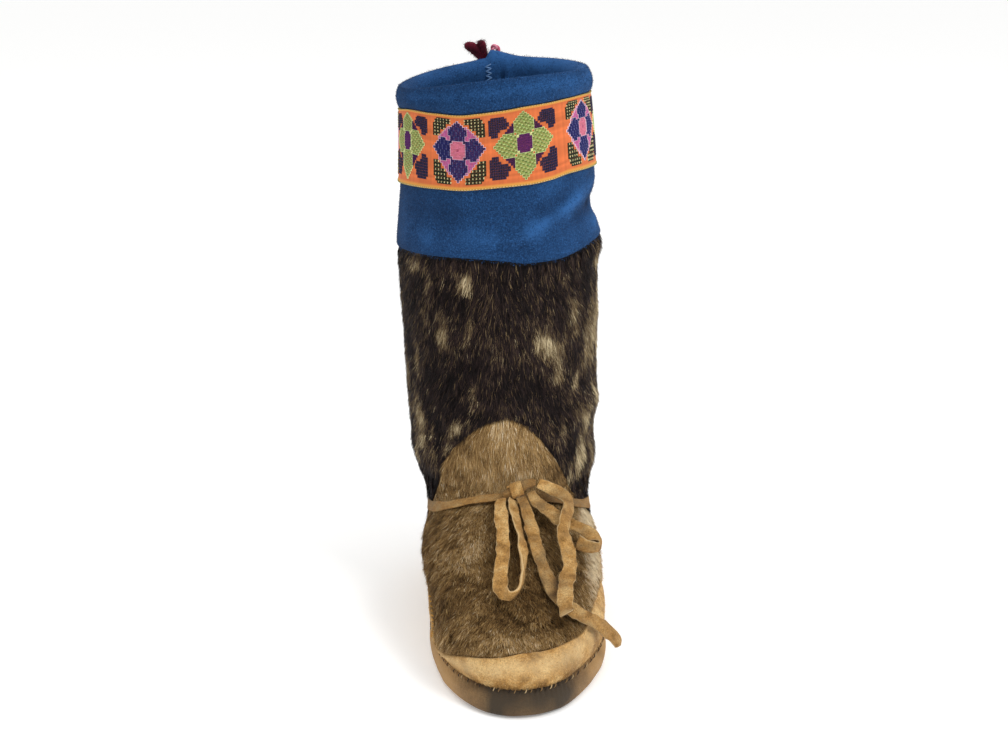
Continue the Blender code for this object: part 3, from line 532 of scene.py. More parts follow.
# Cuff: the felt skirt, the part behind the ribbon, the rolled hem and the facing inside
cuff = {
    "columns": 240, "skirtRows": 40, "hemRows": 20,
    "bulge": 0.30, "innerBulge": 0.14, "backDip": 0.06,  # of the hem, as shares of its thickness
    # angle and height of both ends, width and depth in mm
    "folds": ((8, 252, 30, 262, 5.0, 1.6), (30, 262, 58, 276, 4.5, 1.8), (14, 264, 44, 276, 5.0, -1.3),
              (40, 256, 74, 268, 4.5, -1.8), (62, 262, 92, 270, 3.5, -2.2), (58, 276, 86, 282, 4.0, 1.4),
              (60, 250, 90, 254, 4.5, 1.3), (-74, 258, -34, 252, 8.0, 1.0), (-62, 272, -14, 268, 8.0, -0.9),
              (-30, 260, 2, 248, 6.0, 0.8), (-8, 246, 20, 243, 4.0, -0.8), (120, 262, 170, 274, 6.0, -1.6),
              (-120, 270, -165, 258, 6.0, -1.5), (-150, 285, -176, 262, 5.0, 1.2),
              (140, 284, 168, 262, 5.0, 1.2)),
    # and inside the collar, where the facing hangs in soft pleats
    "pleats": ((171, 352, 170, 322, 1.8, 2.4), (165, 352, 166, 322, 2.4, -1.6),
               (150, 350, 146, 324, 4.0, 1.5), (138, 350, 134, 324, 4.0, -1.4),
               (120, 350, 118, 326, 4.0, 1.4), (-166, 350, -160, 324, 3.5, 1.4),
               (-150, 350, -146, 324, 4.0, -1.4), (-132, 350, -128, 324, 4.0, 1.4),
               (-110, 350, -108, 326, 4.0, -1.2)),
    "seamRise": 0.0062, "innerRise": 0.0012,  # how far the collar's two ends stand up at the back
    "fibres": 24000, "facingFibres": 5000, "fibreLength": 0.0020,
}


def hemRoll(share):
    return np.sqrt(np.clip(1 - (2 * share - 1) ** 2, 0, 1))


def buildCuff():
    angle = np.linspace(-math.pi, math.pi, cuff["columns"], endpoint=False)
    low, knee, high = cuffSeam(angle), bandHigh(angle), np.full(angle.shape, lastSection - 0.002)
    up = np.linspace(0, 1, cuff["skirtRows"])
    skirt, _ = between(angle, low, knee, up)
    turnShare = (1 - np.cos(np.linspace(0, math.pi, cuff["hemRows"]))) / 2
    hem, _ = between(angle, knee, high, turnShare)
    thickness = size["hemThickness"]
    below = (size["band"] + size["skirt"]) / (size["band"] + size["skirt"] + size["casing"])
    flare = 0.35 * size["feltWall"] * np.exp(-((up * below / 0.12) ** 2))
    roll = hemRoll(turnShare)
    hemOut = cuff["bulge"] * thickness * roll
    wall = size["feltWall"] + (thickness - size["feltWall"]) * roll
    hemIn = cuff["innerBulge"] * thickness * roll - np.where(turnShare > 0.5, thickness * roll, wall)
    backPart = np.exp(-((turned(angle, math.pi) / 0.22) ** 2))
    dip = cuff["backDip"] * thickness * backPart * turnShare[:, None]
    onSkirt, onHem = onForm(angle + 0 * skirt, skirt), onForm(angle + 0 * hem, hem)
    creases = softLines(onSkirt, cuff["folds"])
    bandAt, _ = between(angle, low, bandLow(angle), np.array([1.0]))
    clear = np.clip((bandAt - skirt) / 0.35, 0, 1)  # no folds behind the ribbon
    outerSkirt = onForm(angle + 0 * skirt, skirt, flare[:, None] + creases * clear)
    hemCrease = 0.0009 * latticeNoise(onHem, 16, 3)
    outerHem = onForm(angle + 0 * hem, hem, hemOut[:, None] + hemCrease * roll[:, None] - dip)
    wrinkle = 0.0012 * latticeNoise(onHem, 24, 5, (1, 1, 2.5)) + softLines(onHem, cuff["pleats"])
    innerHem = onForm(angle + 0 * hem, hem, hemIn[:, None] + wrinkle * (1 - turnShare[:, None]) - dip)
    inward = flare[:, None] - size["feltWall"] + np.minimum(softLines(onSkirt, cuff["pleats"]), 0.0022)
    sway = 0.0010 * latticeNoise(onSkirt, 24, 5, (1, 1, 2.5))
    innerSkirt = onForm(angle + 0 * skirt, skirt, inward + sway)
    points = np.concatenate([outerSkirt, outerHem[1:], innerHem[::-1][1:], innerSkirt[::-1][1:]])
    # The collar's ends are sewn together at the back, where the outer one stands up in a step
    fromSeam = points[..., 0] + 0.64 * size["legLean"]
    step = np.clip(fromSeam / 0.0016 + 0.5, 0, 1)
    outerEnd = cuff["seamRise"] * step * np.exp(-((fromSeam / 0.015) ** 2))
    innerEnd = cuff["innerRise"] * (1 - step) * np.exp(-((fromSeam / 0.010) ** 2))
    nearTop = np.clip((points[..., 2] - (size["bootHeight"] - size["casing"])) / size["casing"], 0, 1)
    points[..., 2] += (outerEnd + innerEnd) * nearTop * (points[..., 1] > size["legCentre"])
    # Painted light and shade on the felt: painted highlights on the ridges and along the top of the hem,
    # painted shade in the folds, and the facing inside painted lighter, with painted light and shade on its
    # pleats
    lightened = 0.9 * np.exp(-(((turnShare - 0.62) / 0.22) ** 2))[1:, None] + 0 * outerHem[1:, :, 0]
    pleated = 0.45 + 220 * softLines(innerHem, cuff["pleats"])[1:]
    wearAndLight = np.concatenate([creases * clear * 480, lightened * 0.6, pleated, 0.10 + 0 * innerSkirt[1:, :, 0]])
    side = np.sin(angle)
    # Random tone, with painted shade over the inner side and painted light over the outer side
    wearAndLight += 0.25 * latticeNoise(points, 13, 6) - 0.4 * np.clip(-side, 0, 1) + 0.15 * np.clip(side, 0, 1)
    made = addMesh("felt_cuff", points, gridFaces(len(points), len(angle), ring=True, loop=True), felt,
                   values={"wearAndLight": wearAndLight})
    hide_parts("cuff")
    rows = len(outerSkirt) + len(outerHem) - 1
    outside = points[:rows]
    bare = np.ones(outside.shape[:2])
    bare[: len(skirt)] = skirt <= bandAt - 0.02  # none behind the ribbon
    dense = 1 + 2 * (np.arange(rows) > len(skirt) + 6)[:, None]  # three times as many over the hem
    colours = (feltColours["shade"], feltColours["blue"], feltColours["blue"], feltColours["light"])
    fibres("cuff_fibres", outside, bare * dense, cuff["fibres"], cuff["fibreLength"], 0.00020, colours,
           0.45)
    inside = points[rows : rows + len(innerHem) + 12]
    fibres("facing_fibres", inside, np.ones(inside.shape[:2]), cuff["facingFibres"], cuff["fibreLength"],
           0.00022, colours[:3], 0.5, 6)


buildCuff()
print("cuff ready")

# Ribbon: woven ground with its border, and the charted embroidery as raised threads
ribbon = {
    "ground": "#cf6a38", "ochre": "#cf8f3e", "cream": "#dfcf9a", "olive": "#8a8a4a",
    "navy": "#1c1d5c", "navyDark": "#141243", "slit": "#7d7fae",
    "pinkCentre": "#c9718f", "pinkDark": "#a4436f",
    "pink": "#d56484", "lilac": "#a765a8", "lace": "#e6c6d6", "green": "#7f9f55", "greenPale": "#a9c07a",
    "greenDark": "#567a3c", "lime": "#dde3a0", "purple": "#541a5c", "purpleDark": "#3a1043",
    "leaf": "#1c2614", "dot": "#c9bd8a", "ink": "#1b152c", "inkLight": "#2f2650",
    "columns": 420, "rows": 34, "wall": 0.0011, "gap": 0.0003, "border": 0.0026, "borderLift": 0.00025,
    "cell": 0.00141, "high": 0.00143, "dots": 0.0022, "picot": 0.0009,
    # cells from flower to flower, and where a navy flower's centre lies
    "repeat": 31, "firstCentre": -0.0283,
    # The flowers aren't evenly spaced: where along the ribbon they drift, and how far
    "driftAt": (-0.072, -0.0283, 0.0154, 0.0591, 0.103), "drift": (0, 0.0007, -0.0015, 0.0032, 0),
}
bandAngles = np.linspace(-math.pi, math.pi, 1441)


def bandLength():
    # How far along the ribbon each angle lies, from its middle at the front
    middle = onForm(bandAngles, (bandLow(bandAngles) + bandHigh(bandAngles)) / 2, ribbon["wall"])
    way = np.concatenate([[0], np.cumsum(np.linalg.norm(np.diff(middle, axis=0), axis=1))])
    return way - np.interp(0, bandAngles, way)


bandWay = bandLength()
bandEdges = np.stack([bandLow(bandAngles), bandHigh(bandAngles)])


def onBand(along, up, lift):
    # A point on the ribbon: metres along it, share of its width, metres above its face
    angle = np.interp(along, bandWay, bandAngles)
    low, high = np.interp(angle, bandAngles, bandEdges[0]), np.interp(angle, bandAngles, bandEdges[1])
    return onForm(angle, low + (high - low) * up, ribbon["gap"] + ribbon["wall"] + lift)


def buildRibbon():
    columns = ribbon["columns"]
    along = np.linspace(bandWay[0], bandWay[-1], columns, endpoint=False)
    up = np.concatenate([[0.006], np.linspace(0.006, 0.994, ribbon["rows"]), [0.994]])
    u, v = np.meshgrid(along, up)
    lift = np.zeros(v.shape)
    lift[0] = lift[-1] = -ribbon["wall"]
    edge = np.minimum(v, 1 - v) * size["band"]
    lift = lift + np.where(edge < ribbon["border"], ribbon["borderLift"], 0) * (lift == 0)
    tint = np.broadcast_to(linear(ribbon["ground"]), (*v.shape, 3)).copy()
    shade = rng.uniform(0.82, 1.12, (len(up), 1, 1)) * rng.uniform(0.9, 1.08, (1, columns, 1))
    tint *= shade
    tint[edge < ribbon["border"]] = linear(ribbon["ochre"])
    faces = gridFaces(len(up), columns, ring=True)
    made = addMesh("woven_ribbon", onBand(u, v, lift), faces, weave, tint)
    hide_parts("woven_band")


# Half widths of the petals by row, and the columns of the dark leaves by row, as counted
navyPetal = (3, 3, 3, 3, 3, 3, 4, 4, 4, 3, 2, 1, 0, -1)
greenPetal = (3, 3, 3, 3, 3, 4, 4, 4, 4, 4, 3, 2, 1, 0)
dottedLeaf = {13: (4, 10), 12: (4, 11), 11: (4, 11), 10: (6, 12), 9: (6, 12), 8: (7, 12), 7: (9, 12),
              6: (9, 12), 5: (10, 12)}
inkLeaf = {12: (9, 14), 11: (8, 15), 10: (8, 15), 9: (7, 15), 8: (7, 15), 7: (8, 15), 6: (11, 15),
           5: (12, 15), 4: (12, 14)}


def chart(column, row, green):
    # What a cell of a flower's block shows, column and row counted from the flower's centre
    c, r = abs(column), abs(row)
    petal, leaf = (greenPetal, inkLeaf) if green else (navyPetal, dottedLeaf)
    if c <= 3 and r <= 3:
        if c == 3 and r == 3:
            return "lime" if green else "navyDark"
        if green:
            return "purple"
        return "pinkDark" if c == 0 and r == 0 else "pinkCentre"
    if (r <= 13 and c <= petal[r] and r > 3) or (c <= 13 and r <= petal[c] and c > 3):
        return "green" if green else "navy"
    start = 5 if green else 4
    if c >= start and r >= start and c + r <= 13:
        return "purpleDark" if green else "pink"
    if r in leaf and leaf[r][0] <= c <= leaf[r][1]:
        return "ink" if green else "leaf"
    return None


flowerKinds = {"navy", "navyDark", "pinkCentre", "pinkDark", "pink", "green", "lime", "purple", "purpleDark"}
petalKinds = {"navy", "green", "navyDark", "lime"}
threadHeights = {"petal": 0.00042, "slit": 0.00050, "filling": 0.00044, "leaf": 0.00040, "dot": 0.00062,
                 "lace": 0.00056, "picot": 0.00055}


def buildEmbroidery():
    cell, high = ribbon["cell"], ribbon["high"]
    # Each thread's place along and up from the middle, half length, half width, height, whether it stands
    # upright, and its colour
    threads = []

    def sew(along, up, halfLength, halfWidth, height, upright, colour, spread=0.10):
        shade = rng.uniform(1 - spread, 1 + spread)
        threads.append((along, up, halfLength, halfWidth, height, upright, *(linear(ribbon[colour]) * shade)))

    reach = math.ceil(max(-bandWay[0], bandWay[-1]) / (cell * ribbon["repeat"])) + 1
    for flower in range(-reach, reach + 1):
        green = flower % 2 == 1
        centre = ribbon["firstCentre"] + flower * cell * ribbon["repeat"]
        centre += np.interp(centre, ribbon["driftAt"], ribbon["drift"])
        cells = {(c, r): chart(c, r, green) for c in range(-15, 16) for r in range(-13, 14)}
        for (c, r), kind in cells.items():
            x, y = centre + c * cell, r * high
            if kind is None or not bandWay[0] + cell / 2 < x < bandWay[-1] - cell / 2:
                continue
            if kind in ("navy", "navyDark", "pink", "purpleDark", "purple"):
                for k in (-1, 0, 1):
                    colour = "lilac" if kind == "pink" and (c + k) % 2 else kind
                    sew(x + k * cell / 3, y, high * 0.52, cell / 5.6, threadHeights["petal"], True, colour,
                        0.16)
                if kind == "navy" and (r + 2 * (c % 2)) % 4 in (0, 1):
                    sew(x + cell / 2, y, high * 0.46, cell / 11, threadHeights["slit"], True, "slit", 0.2)
            elif kind in ("green", "lime", "pinkCentre", "pinkDark"):
                for k in (-1, 1):
                    colour = kind
                    if kind == "green":
                        colour = ("green", "greenPale", "greenDark", "green")[(c * 3 + r * 5 + k) % 4]
                    sew(x + k * cell / 8, y + k * high / 4, cell * 0.54, high / 4.2, threadHeights["filling"],
                        False, colour, 0.18)
            else:
                for k in (-1, 0, 1):
                    colour = kind if k or kind == "leaf" else "inkLight"
                    sew(x + k * cell / 3, y, high * 0.5, cell / 5.4, threadHeights["leaf"], True, colour,
                        0.25)
        # Openings in the lattice of the dark leaves, through which the pale ground shows
        for m in range(-9, 10):
            for n in range(-9, 10):
                x = (m + 0.5 * (m > 0) - 0.25) * ribbon["dots"]
                y = (n + 0.5 * (n > 0) - 0.25) * ribbon["dots"]
                onRibbon = bandWay[0] + cell < centre + x < bandWay[-1] - cell
                if cells.get((round(x / cell), round(y / high))) == "leaf" and onRibbon:
                    sew(centre + x, y, 0.00058, 0.00050, threadHeights["dot"], True, "dot", 0.2)
        # Lace round the flower and its petals, left out round the dark purple parts
        for (c, r), kind in cells.items():
            x, y = centre + c * cell, r * high
            if kind not in flowerKinds or not bandWay[0] + cell < x < bandWay[-1] - cell:
                continue
            for dc, dr in ((1, 0), (-1, 0), (0, 1), (0, -1)):
                other = cells.get((c + dc, r + dr))
                outside = other is None and kind != "purpleDark"
                if outside or (other is not None and kind in petalKinds and other not in petalKinds):
                    sew(x + dc * cell / 2, y + dr * high / 2, (high if dc else cell) * 0.56, 0.00017,
                        threadHeights["lace"], bool(dc), "lime" if green else "lace", 0.08)
    # Picots along both edges, turned by turns and in two colours
    length = bandWay[-1] - bandWay[0]
    for side in (-1, 1):
        edge = side * (size["band"] / 2 - 0.0006)
        for k in range(int(length / ribbon["picot"])):
            x = bandWay[0] + (k + 0.5) * ribbon["picot"]
            sew(x, edge, 0.00052, 0.00034, threadHeights["picot"], k % 2 == 0, "cream" if k % 2 else "olive",
                0.15)
    t = np.array(threads)
    along, up, halfLength, halfWidth, height, upright = t[:, :6].T
    long = np.where(upright > 0.5, 0, halfLength), np.where(upright > 0.5, halfLength, 0)
    wide = np.where(upright > 0.5, halfWidth, 0), np.where(upright > 0.5, 0, halfWidth)
    # Six points a thread: four at its foot and two along its back, in a soft roof
    shape = ((-1, -1, 0), (-1, 1, 0), (1, 1, 0), (1, -1, 0), (-0.72, 0, 1), (0.72, 0, 1))
    places = []
    for lengthways, sideways, raised in shape:
        x = along + lengthways * long[0] + sideways * wide[0]
        y = up + lengthways * long[1] + sideways * wide[1]
        places.append(onBand(x, 0.5 + y / size["band"], raised * height - (1 - raised) * 0.00006))
    points = np.stack(places, axis=1)
    first = np.arange(len(t))[:, None] * 6
    quads = np.concatenate([first + np.array([0, 4, 5, 3]), first + np.array([1, 2, 5, 4])])
    tris = np.concatenate([first + np.array([0, 1, 4]), first + np.array([2, 3, 5])])
    tint = np.repeat(t[:, 6:9], 6, axis=0)
    made = addMesh("ribbon_embroidery", points, [quads, tris], thread, tint)
    print("threads", len(t))


buildRibbon()
buildEmbroidery()
print("ribbon ready")

# Fur: tone patches, given as angle, height, half width, half length, lean and strength
shaftPatches = (
    (-53, 235, 8, 5, 0, 0.60), (-22.5, 226, 3.6, 14, 12, 0.85), (-21, 205, 3.4, 12, -6, 0.70),
    (-42.5, 225, 2.6, 9, 0, 0.45), (-47, 202, 2.8, 10, 28, 0.50), (-35, 197, 3, 11, 8, 0.60),
    (-58, 173, 3.5, 12, 0, 0.60), (-60, 131, 7, 20, 2, 0.80), (-34, 132, 4.5, 13, -50, 0.85),
    (-18, 161, 2.4, 6, 10, 0.50), (-54, 107, 5, 8, 0, 0.55), (37, 220, 3.2, 14, 16, 0.60),
    (43, 204, 4, 14, 5, 0.55), (27, 190, 4.5, 8, 20, 0.92), (31, 175, 3.6, 11, 14, 0.75),
    (34, 185, 6, 10, 0, 0.55), (67, 187, 9, 18, 0, 0.80), (46, 158, 3.4, 13, -28, 0.60),
    (56, 132, 6, 9, 10, 0.95), (32, 131, 3, 8, 0, 0.60), (53, 112, 8, 13, 10, 0.90),
    (42, 100, 4, 10, 20, 0.60), (69, 150, 5, 10, 0, 0.70), (72, 232, 8, 10, 0, 0.60),
    (74, 218, 7, 26, 0, 0.75), (77, 168, 8, 26, 0, 0.80), (75, 118, 8, 24, 0, 0.75),
    (62, 210, 4, 12, 12, 0.50), (-44, 118, 8, 9, -40, 0.60), (-70, 112, 7, 14, 0, 0.60),
    # The patches of strength below zero, on this line and the next two, are a painted shadow where the
    # shaft's fold hangs over the vamp's seam
    (-30, 161, 12, 14, 0, -0.14), (-22, 148, 8, 6, 20, -0.40), (-8, 145, 9, 5, 0, -0.50),
    (5, 142, 9, 5, 0, -0.50), (17, 136, 8, 7, -30, -0.45), (28, 122, 5, 10, -20, -0.30),
    (30, 106, 6, 14, 30, -0.14), (-48, 150, 7, 12, 0, -0.12), (2, 204, 20, 22, 0, 0.05),
    (-80, 150, 9, 18, 0, 0.70), (-82, 205, 8, 14, 0, 0.50), (95, 150, 9, 20, 10, 0.75),
    (104, 206, 8, 16, -8, 0.70), (120, 176, 7, 14, 14, 0.60), (128, 120, 9, 16, -12, 0.80),
    (150, 200, 6, 20, 4, 0.70), (164, 150, 8, 16, -10, 0.65), (176, 110, 9, 12, 0, 0.75),
    (140, 80, 9, 12, 20, 0.60), (-100, 180, 8, 22, 6, 0.75), (-112, 228, 7, 10, 0, 0.60),
    (-118, 136, 8, 16, -14, 0.80), (-134, 190, 6, 16, 8, 0.70), (-150, 150, 8, 18, -8, 0.75),
    (-158, 216, 6, 14, 10, 0.60), (-170, 178, 6, 14, 0, 0.65), (-140, 90, 9, 14, -16, 0.70),
    (-100, 96, 9, 16, 10, 0.65), (100, 92, 9, 14, -6, 0.60),
)
vampPatches = (
    (0, 126, 16, 14, 0, 0.12), (5, 100, 12, 8, 0, 0.10), (-20, 104, 12, 10, -20, 0.12),
    (-47, 76, 10, 8, 0, 0.05), (-22, 80, 9, 5, 20, 0.10), (-26, 68, 9, 4, 0, 0.14),
    (-50, 60, 9, 5, 0, 0.08), (-33, 61, 10, 4, 30, 0.12), (-36, 53, 9, 4, 20, -0.14),
    (-12, 60, 8, 6, 0, -0.05), (-42, 42, 12, 6, 0, -0.12), (10, 50, 12, 6, 0, -0.16),
    (26, 44, 8, 6, 0, -0.18), (-8, 46, 12, 4, -30, -0.14), (2, 36.5, 3.6, 24, 88, 0.22),
    (60, 62, 11, 16, 0, 0.90), (50, 50, 7, 8, 0, 0.34), (68, 74, 9, 8, 0, 0.50), (30, 62, 6, 10, 0, -0.08),
    (-66, 56, 8, 14, 0, 0.06), (-80, 50, 8, 12, 0, -0.08), (84, 56, 8, 14, 0, 0.30),
    (26, 100, 4, 10, -20, -0.12), (14, 96, 10, 3, 70, -0.10), (-58, 28, 5, 10, 0, 0.10),
)
# Folds in the furred skin: angle and height of both ends, width and depth in mm
furFolds = (
    (-14, 52, 7, 42, 3.0, -2.0), (6, 42, 31, 41, 3.0, -1.8), (-18, 36.5, 33, 37, 3.4, 0.9),
    (-47, 39, -16, 56, 3.0, -1.4), (-52, 60, -20, 64, 4.5, 1.2), (-50, 53, -22, 56, 3.0, -1.2),
    (-36, 74, -8, 70, 4.0, 0.8), (10, 99, 34, 91, 2.6, -1.6), (6, 105, 32, 99, 4.0, 1.1),
    (16, 94, 38, 86, 3.0, 0.8), (-26, 152, 20, 141, 5.0, 2.2), (-24, 146, 18, 134, 3.0, -1.6),
    (20, 140, 36, 112, 4.0, 1.4), (-56, 140, -30, 120, 5.0, -1.4), (-66, 126, -46, 104, 5.0, 1.2),
    (40, 160, 78, 150, 6.0, -1.6), (46, 147, 84, 138, 6.0, 1.6), (30, 118, 60, 96, 4.0, -1.4),
    (50, 204, 84, 196, 8.0, 1.0), (-84, 190, -50, 182, 8.0, -1.0), (110, 140, 160, 124, 6.0, -1.5),
    (-110, 132, -160, 120, 6.0, -1.5), (130, 96, 176, 88, 6.0, 1.2), (-130, 100, -176, 92, 6.0, 1.2),
)
fur = {
    "shaftRoots": "#0a0707", "vampRoots": "#281c12",
    # Colours from the darkest hair to the palest, each with its tone
    "shaftStops": ((0.0, "#050303"), (0.26, "#191111"), (0.46, "#3c2d2b"), (0.64, "#8a7450"),
                   (1.0, "#ead8b0")),
    "vampStops": ((0.0, "#261b10"), (0.28, "#5b452a"), (0.50, "#917044"), (0.72, "#c8a56e"),
                  (1.0, "#f6e6c6")),
    "shaftHairs": 150000, "vampHairs": 76000, "length": 0.0085, "width": 0.00042, "root": -0.0021,
    # How far hairs stray sideways and roll, where they bend, and what shares of them stand off or are pale
    "stray": 0.22, "roll": 0.45, "bend": 0.42, "standOff": 0.08, "paleShare": 0.10,
    "edge": 0.008,  # the fur lies lower this near to a seam
    "behind": 0.68,  # share of the hairs kept on the back of the leg, which the photo doesn't show
}


def patchTone(angle, height, patches):
    # How light the listed patches make the fur; patches of strength below zero darken it
    tone = np.zeros(angle.shape)
    for at, up, halfWidth, halfLength, lean, strength in patches:
        x = turned(angle, math.radians(at)) * 62  # the leg's surface is about 62 mm from its centre
        z = height * 1000 - up
        c, s = math.cos(math.radians(lean)), math.sin(math.radians(lean))
        across, along = x * c + z * s, -x * s + z * c
        patch = strength * np.exp(-((across / halfWidth) ** 2) - (along / halfLength) ** 2)
        tone = np.where(strength > 0, np.maximum(tone, patch), tone) + (patch if strength < 0 else 0)
    return tone


def shaftTone(points, angle):
    # From dark to cream, 0 to 1
    streaks = latticeNoise(points, 3.2, 11, (1, 1, 3.0))
    lumps = latticeNoise(points, 15, 12, (1, 1, 1.6))
    mottle = latticeNoise(points, 7, 13, (1, 1, 1.8))
    placed = patchTone(angle + 0.10 * lumps + 0.05 * mottle, points[..., 2] + 0.005 * mottle, shaftPatches)
    # Painted shade over the inner side
    inner = 0.06 * np.clip(-np.sin(angle), 0, 1)  # the inner side is darker
    broken = placed * np.clip(0.85 + 0.35 * streaks + 0.40 * mottle, 0, 1.3)  # pale patches are streaky
    placed = np.where(placed > 0, broken, placed)
    return 0.22 - inner + 0.08 * streaks + 0.06 * lumps + 0.07 * mottle + 0.68 * placed


def vampTone(points, angle):
    streaks = latticeNoise(points, 3.5, 21, (1, 1, 2.5))
    lumps = latticeNoise(points, 18, 22)
    placed = 0
    for part in vampPatches:
        placed = placed + patchTone(angle + 0.04 * lumps, points[..., 2], (part,))
    return 0.415 + 0.12 * streaks + 0.08 * lumps + placed


def furSkin(name, low, high, tone, stops, roots, solid, columns, rows, reach=None):
    # The skin under the hairs: its outer face in the fur's colours, and the skin side within
    ring = reach is None
    limit = math.pi if ring else reach
    angle = np.linspace(-limit, limit, columns, endpoint=not ring)
    up = np.linspace(0, 1, rows)
    s, tall = between(angle, low(angle), high(angle), up)
    edge = np.clip(np.minimum(up, 1 - up)[:, None] * tall / fur["edge"], 0, 1)
    flat = onForm(angle + 0 * s, s)
    folds = softLines(flat, furFolds) * edge
    sunk = -0.0009 + (fur["root"] + 0.0009) * edge + 0.0002 * latticeNoise(flat, 4, 31) + folds
    outer = onForm(angle + 0 * s, s, sunk)
    inner = onForm(angle + 0 * s, s, np.minimum(-0.0014 - 0.0020 * edge, sunk - 0.0006))
    colour = (linear(roots) + toneColour(tone(flat, angle + 0 * s), stops)) / 2 * 0.8
    points = np.concatenate([outer, inner[::-1]])
    tint = np.concatenate([colour, colour[::-1] * 0 + linear(skinSide)])
    made = addMesh(name, points, gridFaces(len(points), columns, ring=ring, loop=True), furBase, tint)
    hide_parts(solid)


def furRoots(count, low, high, reach=None):
    # Places spread evenly over a piece by area, as angles and sections
    angles, rows = tableAngles, tableSections
    quads = np.linalg.norm(np.cross(tablePlace[:-1, 1:] - tablePlace[:-1, :-1],
                                    tablePlace[1:, :-1] - tablePlace[:-1, :-1]), axis=-1)
    a = (angles[:-1] + angles[1:]) / 2
    s = (rows[:-1] + rows[1:]) / 2
    inside = (s[:, None] > low(a)[None]) & (s[:, None] < high(a)[None])
    if reach is not None:
        inside &= (np.abs(a) < reach)[None]
    weight = (quads * inside).ravel()
    chosen = rng.choice(len(weight), count, p=weight / weight.sum())
    j, i = np.unravel_index(chosen, quads.shape)
    return (a[i] + (rng.random(count) - 0.5) * (angles[1] - angles[0]),
            s[j] + (rng.random(count) - 0.5) * (rows[1] - rows[0]))


def hairs(name, angle, s, tone, stops, floorSeam, overhang, lean, length=1.0):
    # Hairs that lie down the form, each a narrow blade with a bend and a point
    start = onForm(angle, s)
    normal = unit(read(tableNormal, angle, s))
    down = -unit(read(tableUp, angle, s))
    side = unit(np.cross(normal, down))
    count = len(angle)
    swirl = 0.35 * latticeNoise(start, 22, 41) + 0.22 * latticeNoise(start, 7, 42) + lean(angle)
    way = unit(down + side * (swirl + rng.normal(0, fur["stray"], count))[:, None])
    seam = onForm(angle, floorSeam(angle))
    room = np.linalg.norm(start - seam, axis=-1)
    clump = latticeNoise(start, 3.2, 43)
    tall = fur["length"] * length * rng.uniform(0.75, 1.2, count) * (1 + 0.15 * clump)
    tall = np.minimum(tall, room + overhang * rng.uniform(0.4, 1.0, count))
    depth = fur["root"]
    near = np.clip(room / fur["edge"], 0.35, 1)
    rise = (0.0009 + 0.0006 * rng.random(count) + 0.0005 * clump) * near
    tip = (0.0017 + 0.0012 * rng.random(count) ** 2 + 0.0006 * clump) * near
    stray = rng.random(count) < fur["standOff"]
    tip = tip + stray * rng.uniform(0.0004, 0.0022, count)
    folds = softLines(start, furFolds) * np.clip(room / fur["edge"], 0, 1)
    roll = rng.normal(0, fur["roll"], count)
    across = unit(side * np.cos(roll)[:, None] + normal * np.sin(roll)[:, None])
    width = fur["width"] * rng.uniform(0.7, 1.35, count) / 2
    base = start + normal * (depth * near + folds)[:, None]
    middle = base + way * (tall * fur["bend"])[:, None] + normal * (rise - depth * near * 0.45)[:, None]
    end = base + way * tall[:, None] + normal * (tip - depth * near * 0.6)[:, None]
    points = np.stack([base, middle - across * width[:, None], middle + across * width[:, None], end], axis=1)
    bright = (rng.random(count) < fur["paleShare"]) * rng.uniform(0.08, 0.30, count)
    # Hairs on raised folds are painted lighter and hairs in sunk folds darker: painted light and shade
    own = tone(start, angle) + rng.normal(0, 0.10, count) + 0.08 * clump + 60 * folds + bright
    tipTone = own + rng.uniform(0.0, 0.14, count)
    rootColour, tipColour = toneColour(own - 0.10, stops) * 0.7, toneColour(tipTone, stops)
    bendColour = (rootColour + 2 * tipColour) / 3
    tint = np.stack([rootColour, bendColour, bendColour, tipColour], axis=1)
    made = addMesh(name, points, kiteFaces(count), furHair, tint)


vampReach = vampAngle * 0.985  # the vamp's fur stops just short of the tails' points
furSkin("shaft_skin", vampSeam, cuffSeam, shaftTone, fur["shaftStops"], fur["shaftRoots"], "shaft",
        210, 50)
furSkin("vamp_skin", randSeam, vampSeam, vampTone, fur["vampStops"], fur["vampRoots"], "vamp",
        170, 56, vampReach)


def shaftLean(angle):
    return 0.25 * np.sin(turned(angle, 0.25)) * np.cos(angle / 2)


def vampLean(angle):
    return 0.20 * np.sin(angle)


def buildFur():
    angle, s = furRoots(fur["shaftHairs"], vampSeam, cuffSeam)
    front = np.abs(angle) < math.radians(96)
    hairs("shaft_hair_front", angle[front], s[front], shaftTone, fur["shaftStops"], vampSeam, 0.0025,
          shaftLean)
    behind = ~front & (rng.random(len(angle)) < fur["behind"])
    hairs("shaft_hair_back", angle[behind], s[behind], shaftTone, fur["shaftStops"], vampSeam, 0.0015,
          shaftLean)
    angle, s = furRoots(fur["vampHairs"], randSeam, vampSeam, vampReach)
    hairs("vamp_hair", angle, s, vampTone, fur["vampStops"], randSeam, 0.0005, vampLean, 0.85)


buildFur()
print("fur ready")

